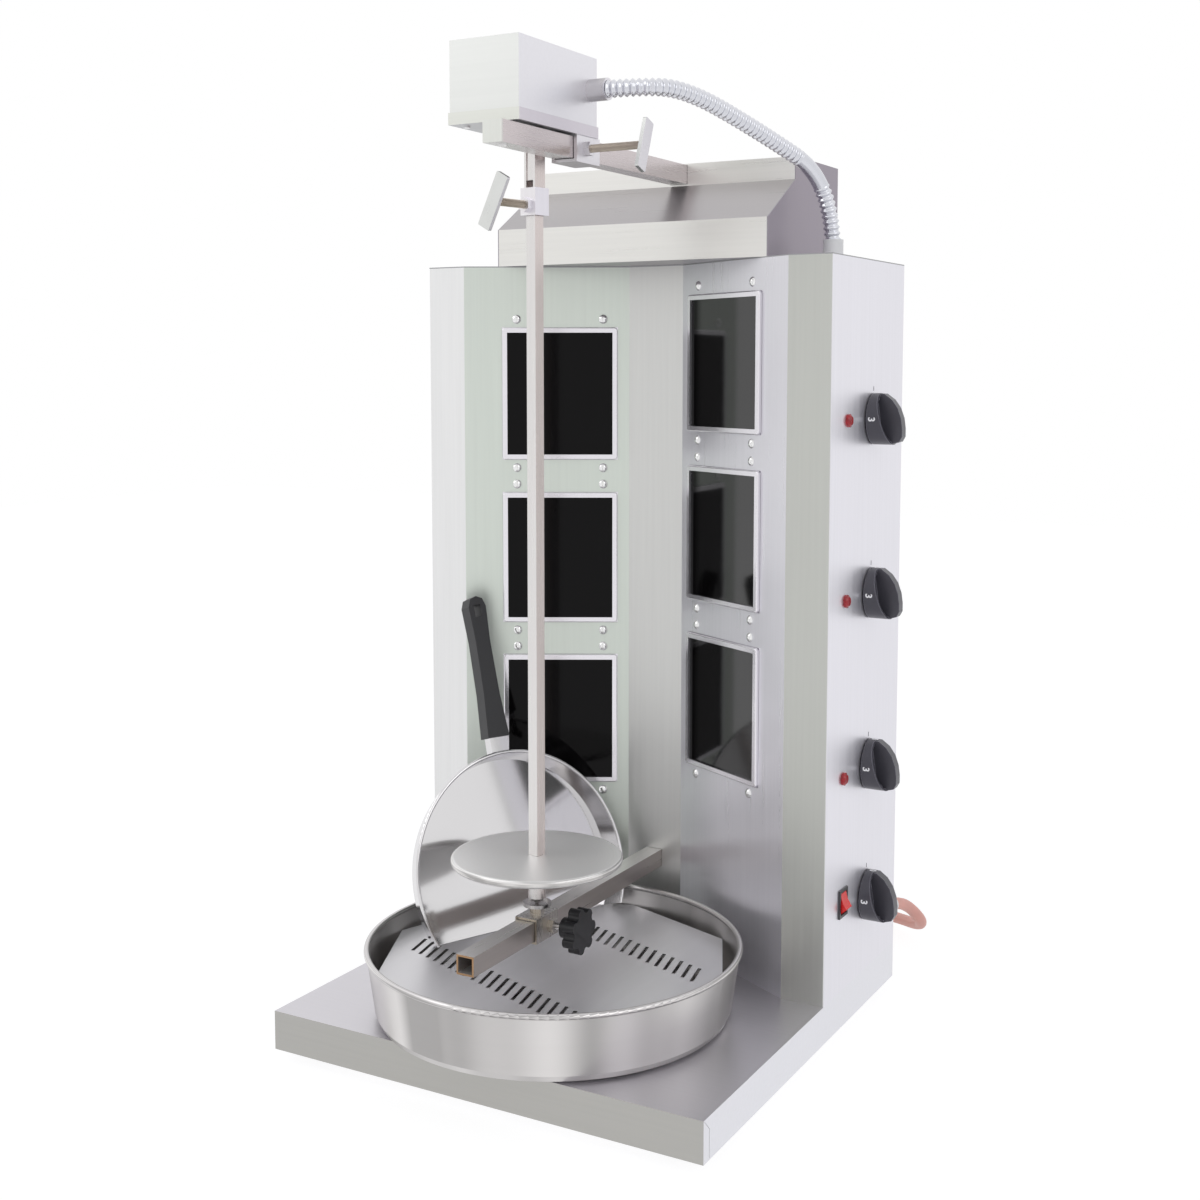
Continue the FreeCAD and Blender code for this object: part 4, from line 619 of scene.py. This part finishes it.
def block(name, low, high, material):
    corners = [(x, y, z) for x in (low[0], high[0]) for y in (low[1], high[1]) for z in (low[2], high[2])]
    faces = [(0, 1, 3, 2), (4, 6, 7, 5), (0, 4, 5, 1), (2, 3, 7, 6), (0, 2, 6, 4), (1, 5, 7, 3)]
    mesh = bpy.data.meshes.new(name)
    mesh.from_pydata(corners, [], faces)
    mesh.materials.append(material)
    made = bpy.data.objects.new(name, mesh)
    bpy.context.scene.collection.objects.link(made)
    return made


for number, height in enumerate(KNOB_HEIGHTS, 1):
    for digit, around in (("0", 0.0), ("3", 90.0)):
        turn = math.radians(around)
        outward = Vector((0, -math.sin(turn), math.cos(turn)))
        upward = Vector((1, 0, 0))
        across = upward.cross(outward)
        on_axis = Vector(row_point(PANEL_X + DIGIT_FROM_PANEL, CONTROL_Y, height))
        place = Matrix((across, upward, outward)).transposed().to_4x4()
        place.translation = on_axis + outward * (SKIRT_RADIUS + DIGIT_PROUD) / 1000
        digit_mark = print_mark("knob_%d_mark_%s" % (number, digit), digit, DIGIT_SIZE, place)
        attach(digit_mark, "knob_%d" % number)
    tick_start = row_point(PANEL_X - 0.1, CONTROL_Y - TICK_HALF_WIDTH, height + TICK_LOW)
    tick_end = row_point(PANEL_X + 0.2, CONTROL_Y + TICK_HALF_WIDTH, height + TICK_HIGH)
    tick = block("panel_mark_%d" % number, tick_start, tick_end, grey_print)
    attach(tick, "housing")


# Conduit: a ribbed metal hose that carries the motor's wires from the head to the top plate.
# It has a smooth joint near its lower end, which a white gland holds.

# The hose's lighter upward faces are painted light by facing.
hose_metal = sheet_steel("Hose metal", (0.82, 0.825, 0.85), (0.82, 0.825, 0.85), (0.90, 0.90, 0.92),
                         grain=(80, 80, 80), streak=0.05, roughness=0.2, metallic=1.0)
nut_white = plain("White nylon", (0.93, 0.93, 0.93), 0.45, mottle=0.01)
finish_nodes(nut_white, "top_gland", "cord_gland")


def route_curve(name, points):
    curve = bpy.data.curves.new(name, "CURVE")
    curve.dimensions = "3D"
    spline = curve.splines.new("NURBS")
    spline.points.add(len(points) - 1)
    for spot, place in zip(spline.points, points):
        spot.co = (*place, 1.0)
    spline.order_u = 3
    spline.use_endpoint_u = True
    curve.resolution_u = 12
    made = bpy.data.objects.new(name, curve)
    bpy.context.scene.collection.objects.link(made)
    return made


def line_points(curve_object):
    mesh = bpy.data.meshes.new_from_object(curve_object)
    points = [v.co.copy() for v in mesh.vertices]
    bpy.data.meshes.remove(mesh)
    return points


def run_length(points):
    return sum((b - a).length for a, b in zip(points, points[1:]))


def make_hose_tree(material):
    """Sweeps a round hose along the route, with ribs from a wave and a smooth stretch."""
    tree = bpy.data.node_groups.new("Ribbed hose", "GeometryNodeTree")
    tree.interface.new_socket(name="Geometry", in_out="INPUT", socket_type="NodeSocketGeometry")
    for name, value in (("Hose radius", 0.0080), ("Rib height", 0.0010), ("Rib pitch", 0.0064),
                        ("Smooth from", 0.2698), ("Smooth to", 0.3140)):
        socket = tree.interface.new_socket(name=name, in_out="INPUT", socket_type="NodeSocketFloat")
        socket.default_value = value
    tree.interface.new_socket(name="Geometry", in_out="OUTPUT", socket_type="NodeSocketGeometry")
    add = tree.nodes.new
    given, out = add("NodeGroupInput"), add("NodeGroupOutput")
    points = add("GeometryNodeResampleCurve")
    points.inputs["Count"].default_value = 760
    run = add("GeometryNodeSplineParameter")
    phase = add("ShaderNodeMath")
    phase.operation = "DIVIDE"
    turns = add("ShaderNodeMath")
    turns.operation = "MULTIPLY"
    turns.inputs[1].default_value = 2 * math.pi
    wave = add("ShaderNodeMath")
    wave.operation = "SINE"
    past = add("ShaderNodeMath")
    past.operation = "GREATER_THAN"
    before = add("ShaderNodeMath")
    before.operation = "LESS_THAN"
    joint = add("ShaderNodeMath")
    joint.operation = "MULTIPLY"
    wavy = add("ShaderNodeMix")
    wavy.inputs["B"].default_value = 0.3
    radius = add("ShaderNodeMath")
    radius.operation = "MULTIPLY_ADD"
    ring = add("GeometryNodeCurvePrimitiveCircle")
    ring.inputs["Resolution"].default_value = 28
    ring.inputs["Radius"].default_value = 1.0
    tube = add("GeometryNodeCurveToMesh")
    tube.inputs["Fill Caps"].default_value = True
    solid = add("GeometryNodeRealizeInstances")
    coat = add("GeometryNodeSetMaterial")
    coat.inputs["Material"].default_value = material
    link_chain(tree, (given.outputs["Geometry"], points.inputs["Curve"]),
               (run.outputs["Length"], phase.inputs[0]), (given.outputs["Rib pitch"], phase.inputs[1]),
               (phase.outputs[0], turns.inputs[0]), (turns.outputs[0], wave.inputs[0]),
               (run.outputs["Length"], past.inputs[0]), (given.outputs["Smooth from"], past.inputs[1]),
               (run.outputs["Length"], before.inputs[0]), (given.outputs["Smooth to"], before.inputs[1]),
               (past.outputs[0], joint.inputs[0]), (before.outputs[0], joint.inputs[1]),
               (joint.outputs[0], wavy.inputs["Factor"]), (wave.outputs[0], wavy.inputs["A"]),
               (wavy.outputs["Result"], radius.inputs[0]), (given.outputs["Rib height"], radius.inputs[1]),
               (given.outputs["Hose radius"], radius.inputs[2]),
               (points.outputs["Curve"], tube.inputs["Curve"]), (radius.outputs[0], tube.inputs["Scale"]),
               (ring.outputs["Curve"], tube.inputs["Profile Curve"]),
               (tube.outputs["Mesh"], solid.inputs["Geometry"]),
               (solid.outputs["Geometry"], coat.inputs["Geometry"]),
               (coat.outputs["Geometry"], out.inputs["Geometry"]))
    return tree


HOSE_ROUTE = [(39.6, -129, 1004), (92, -129, 1004), (124, -84, 1006), (162, 10, 974), (207.5, 110.5, 929),
              (207.5, 110.5, 844)]
hose_line = route_curve("conduit_line", [row_point(*p) for p in HOSE_ROUTE])
hose_points = line_points(hose_line)
ribs = hose_line.modifiers.new("Ribs", "NODES")
ribs.node_group = make_hose_tree(hose_metal)
bpy.context.view_layer.update()
hose_shown = hose_line.evaluated_get(bpy.context.evaluated_depsgraph_get())
hose_mesh = bpy.data.meshes.new_from_object(hose_shown)
bpy.data.objects.remove(hose_line)
for face in hose_mesh.polygons:
    face.use_smooth = True
hose = bpy.data.objects.new("ribbed_conduit", hose_mesh)
bpy.context.scene.collection.objects.link(hose)
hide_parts("conduit")
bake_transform(hose)


# Supply cord: heat-proof silicone sheath the colour of brick, out of a white gland at the back.
# The part that the photo does not show lies coiled behind the body, with a black plug.

sheath = plain("Silicone sheath", (0.93, 0.69, 0.64), 0.5, mottle=0.04)
plug_black = plain("Plug plastic", (0.14, 0.14, 0.14), 0.45)
finish_nodes(plug_black, "plug")
CORD_DIAMETER = 0.014
COIL_X = 40.0
COIL_Y = 345.0
COIL_OUTER = 100.0
COIL_STEP = 15.0
COIL_INNER = 45.0
COIL_INNER_Y = COIL_Y - 25.0
COIL_TURN_STEP = 15.0
HALF_TURN_STEPS = 12
CORD_HEIGHT = 7.2


def arc_corners(middle_y, radius, start, first, last):
    """Corners of the coil's route, set just outside an arc so that their sides touch it."""
    reach = radius / math.cos(math.radians(COIL_TURN_STEP / 2))
    corners = []
    for step in range(first, last):
        angle = math.radians(start + COIL_TURN_STEP * (step + 0.5))
        corners.append((COIL_X + reach * math.cos(angle), middle_y + reach * math.sin(angle), CORD_HEIGHT))
    return corners


cord_route = [(234, 238, 86), (234, 292, 86), (258, 340, 34), (180, 418, 14), (112, 445, CORD_HEIGHT),
              (COIL_X + 20, COIL_Y + COIL_OUTER, CORD_HEIGHT)]
middle_y = COIL_Y
radius = COIL_OUTER
for half in range(5):
    first = 1 if half == 0 else 0
    cord_route += arc_corners(middle_y, radius, 90 + 180 * half, first, HALF_TURN_STEPS)
    middle_y += -COIL_STEP / 2 if half % 2 == 0 else COIL_STEP / 2
    radius -= COIL_STEP / 2
cord_route += arc_corners(COIL_INNER_Y, COIL_INNER, -90, 0, HALF_TURN_STEPS // 2)
cord_route.append((COIL_X + COIL_INNER, COIL_INNER_Y + 12, CORD_HEIGHT))
cord = route_curve("supply_cable", [row_point(*p) for p in cord_route])
cord_length = run_length(line_points(cord))
cord.data.bevel_depth = CORD_DIAMETER / 2
cord.data.bevel_resolution = 5
cord.data.use_fill_caps = True
cord.data.materials.append(sheath)
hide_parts("supply_cord", "cord_coil")
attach(cord, "housing")


# Studio: a plain white floor and background, two large soft lamps and the photograph's camera.
# None of this belongs to the part.

def looked_at(tree):
    """One for rays from the camera and for those that a shiny or clear surface sends on, else nothing."""
    rays = tree.nodes.new("ShaderNodeLightPath")
    total = rays.outputs["Is Camera Ray"]
    for kind in ("Is Glossy Ray", "Is Transmission Ray"):
        either = tree.nodes.new("ShaderNodeMath")
        either.operation = "MAXIMUM"
        link_chain(tree, (total, either.inputs[0]), (rays.outputs[kind], either.inputs[1]))
        total = either.outputs[0]
    return total


floor_white = bpy.data.materials.new("Studio floor")
floor_white.use_nodes = True
floor_tree = floor_white.node_tree
matt = floor_tree.nodes["Principled BSDF"]
matt.inputs["Base Color"].default_value = (0.9, 0.9, 0.9, 1)
matt.inputs["Roughness"].default_value = 0.9
lit = floor_tree.nodes.new("ShaderNodeEmission")
lit.inputs["Color"].default_value = (1, 1, 1, 1)
lit.inputs["Strength"].default_value = 1.17
share = floor_tree.nodes.new("ShaderNodeMath")
share.operation = "MULTIPLY"
share.inputs[1].default_value = 0.74
mix_floor = floor_tree.nodes.new("ShaderNodeMixShader")
link_chain(floor_tree, (looked_at(floor_tree), share.inputs[0]), (share.outputs[0], mix_floor.inputs["Fac"]),
           (matt.outputs["BSDF"], mix_floor.inputs[1]), (lit.outputs["Emission"], mix_floor.inputs[2]),
           (mix_floor.outputs["Shader"], floor_tree.nodes["Material Output"].inputs["Surface"]))
studio_floor = block("studio_floor", (-6, -6, -0.02), (6, 6, 0), floor_white)

world = bpy.data.worlds.new("Studio")
bpy.context.scene.world = world
world.use_nodes = True
sky = world.node_tree
soft = sky.nodes["Background"]
soft.inputs["Color"].default_value = (0.95, 0.96, 1.0, 1)
soft.inputs["Strength"].default_value = 0.62
white = sky.nodes.new("ShaderNodeBackground")
white.inputs["Color"].default_value = (1, 1, 1, 1)
sky_mix = sky.nodes.new("ShaderNodeMixShader")
link_chain(sky, (looked_at(sky), sky_mix.inputs["Fac"]), (soft.outputs["Background"], sky_mix.inputs[1]),
           (white.outputs["Background"], sky_mix.inputs[2]),
           (sky_mix.outputs["Shader"], sky.nodes["World Output"].inputs["Surface"]))


def soft_lamp(name, place, target, size, power):
    lamp = bpy.data.lights.new(name, "AREA")
    lamp.shape = "SQUARE"
    lamp.size = size
    lamp.energy = power
    made = bpy.data.objects.new(name, lamp)
    made.location = place
    made.rotation_euler = (Vector(target) - Vector(place)).to_track_quat("-Z", "Y").to_euler()
    bpy.context.scene.collection.objects.link(made)


soft_lamp("Left lamp", (-2.2, -2.0, 2.6), (0, 0, 0.5), 1.8, 12)
soft_lamp("Right lamp", (2.6, -0.6, 2.2), (0, 0, 0.5), 1.8, 9)

PHOTO_SIDE = 1200.0
PHOTO_AXIS_X = 597.49
PHOTO_AXIS_Y = 509.52
FOCAL_PIXELS = 1578.14
SENSOR_WIDTH = 36.0
CAMERA_DOWN = 5.07
CAMERA_TURN = 29.48
camera_data = bpy.data.cameras.new("Camera")
camera_data.sensor_width = SENSOR_WIDTH
camera_data.lens = SENSOR_WIDTH * FOCAL_PIXELS / PHOTO_SIDE
camera_data.shift_x = (PHOTO_SIDE / 2 - PHOTO_AXIS_X) / PHOTO_SIDE
camera_data.shift_y = (PHOTO_AXIS_Y - PHOTO_SIDE / 2) / PHOTO_SIDE
camera = bpy.data.objects.new("Camera", camera_data)
camera.location = row_point(837.68, -1524.8, 726.58)
camera.rotation_euler = (math.radians(90 - CAMERA_DOWN), 0, math.radians(CAMERA_TURN))
bpy.context.scene.collection.objects.link(camera)
bpy.context.scene.camera = camera
bpy.context.scene.view_settings.view_transform = "Standard"

bpy.context.view_layer.update()
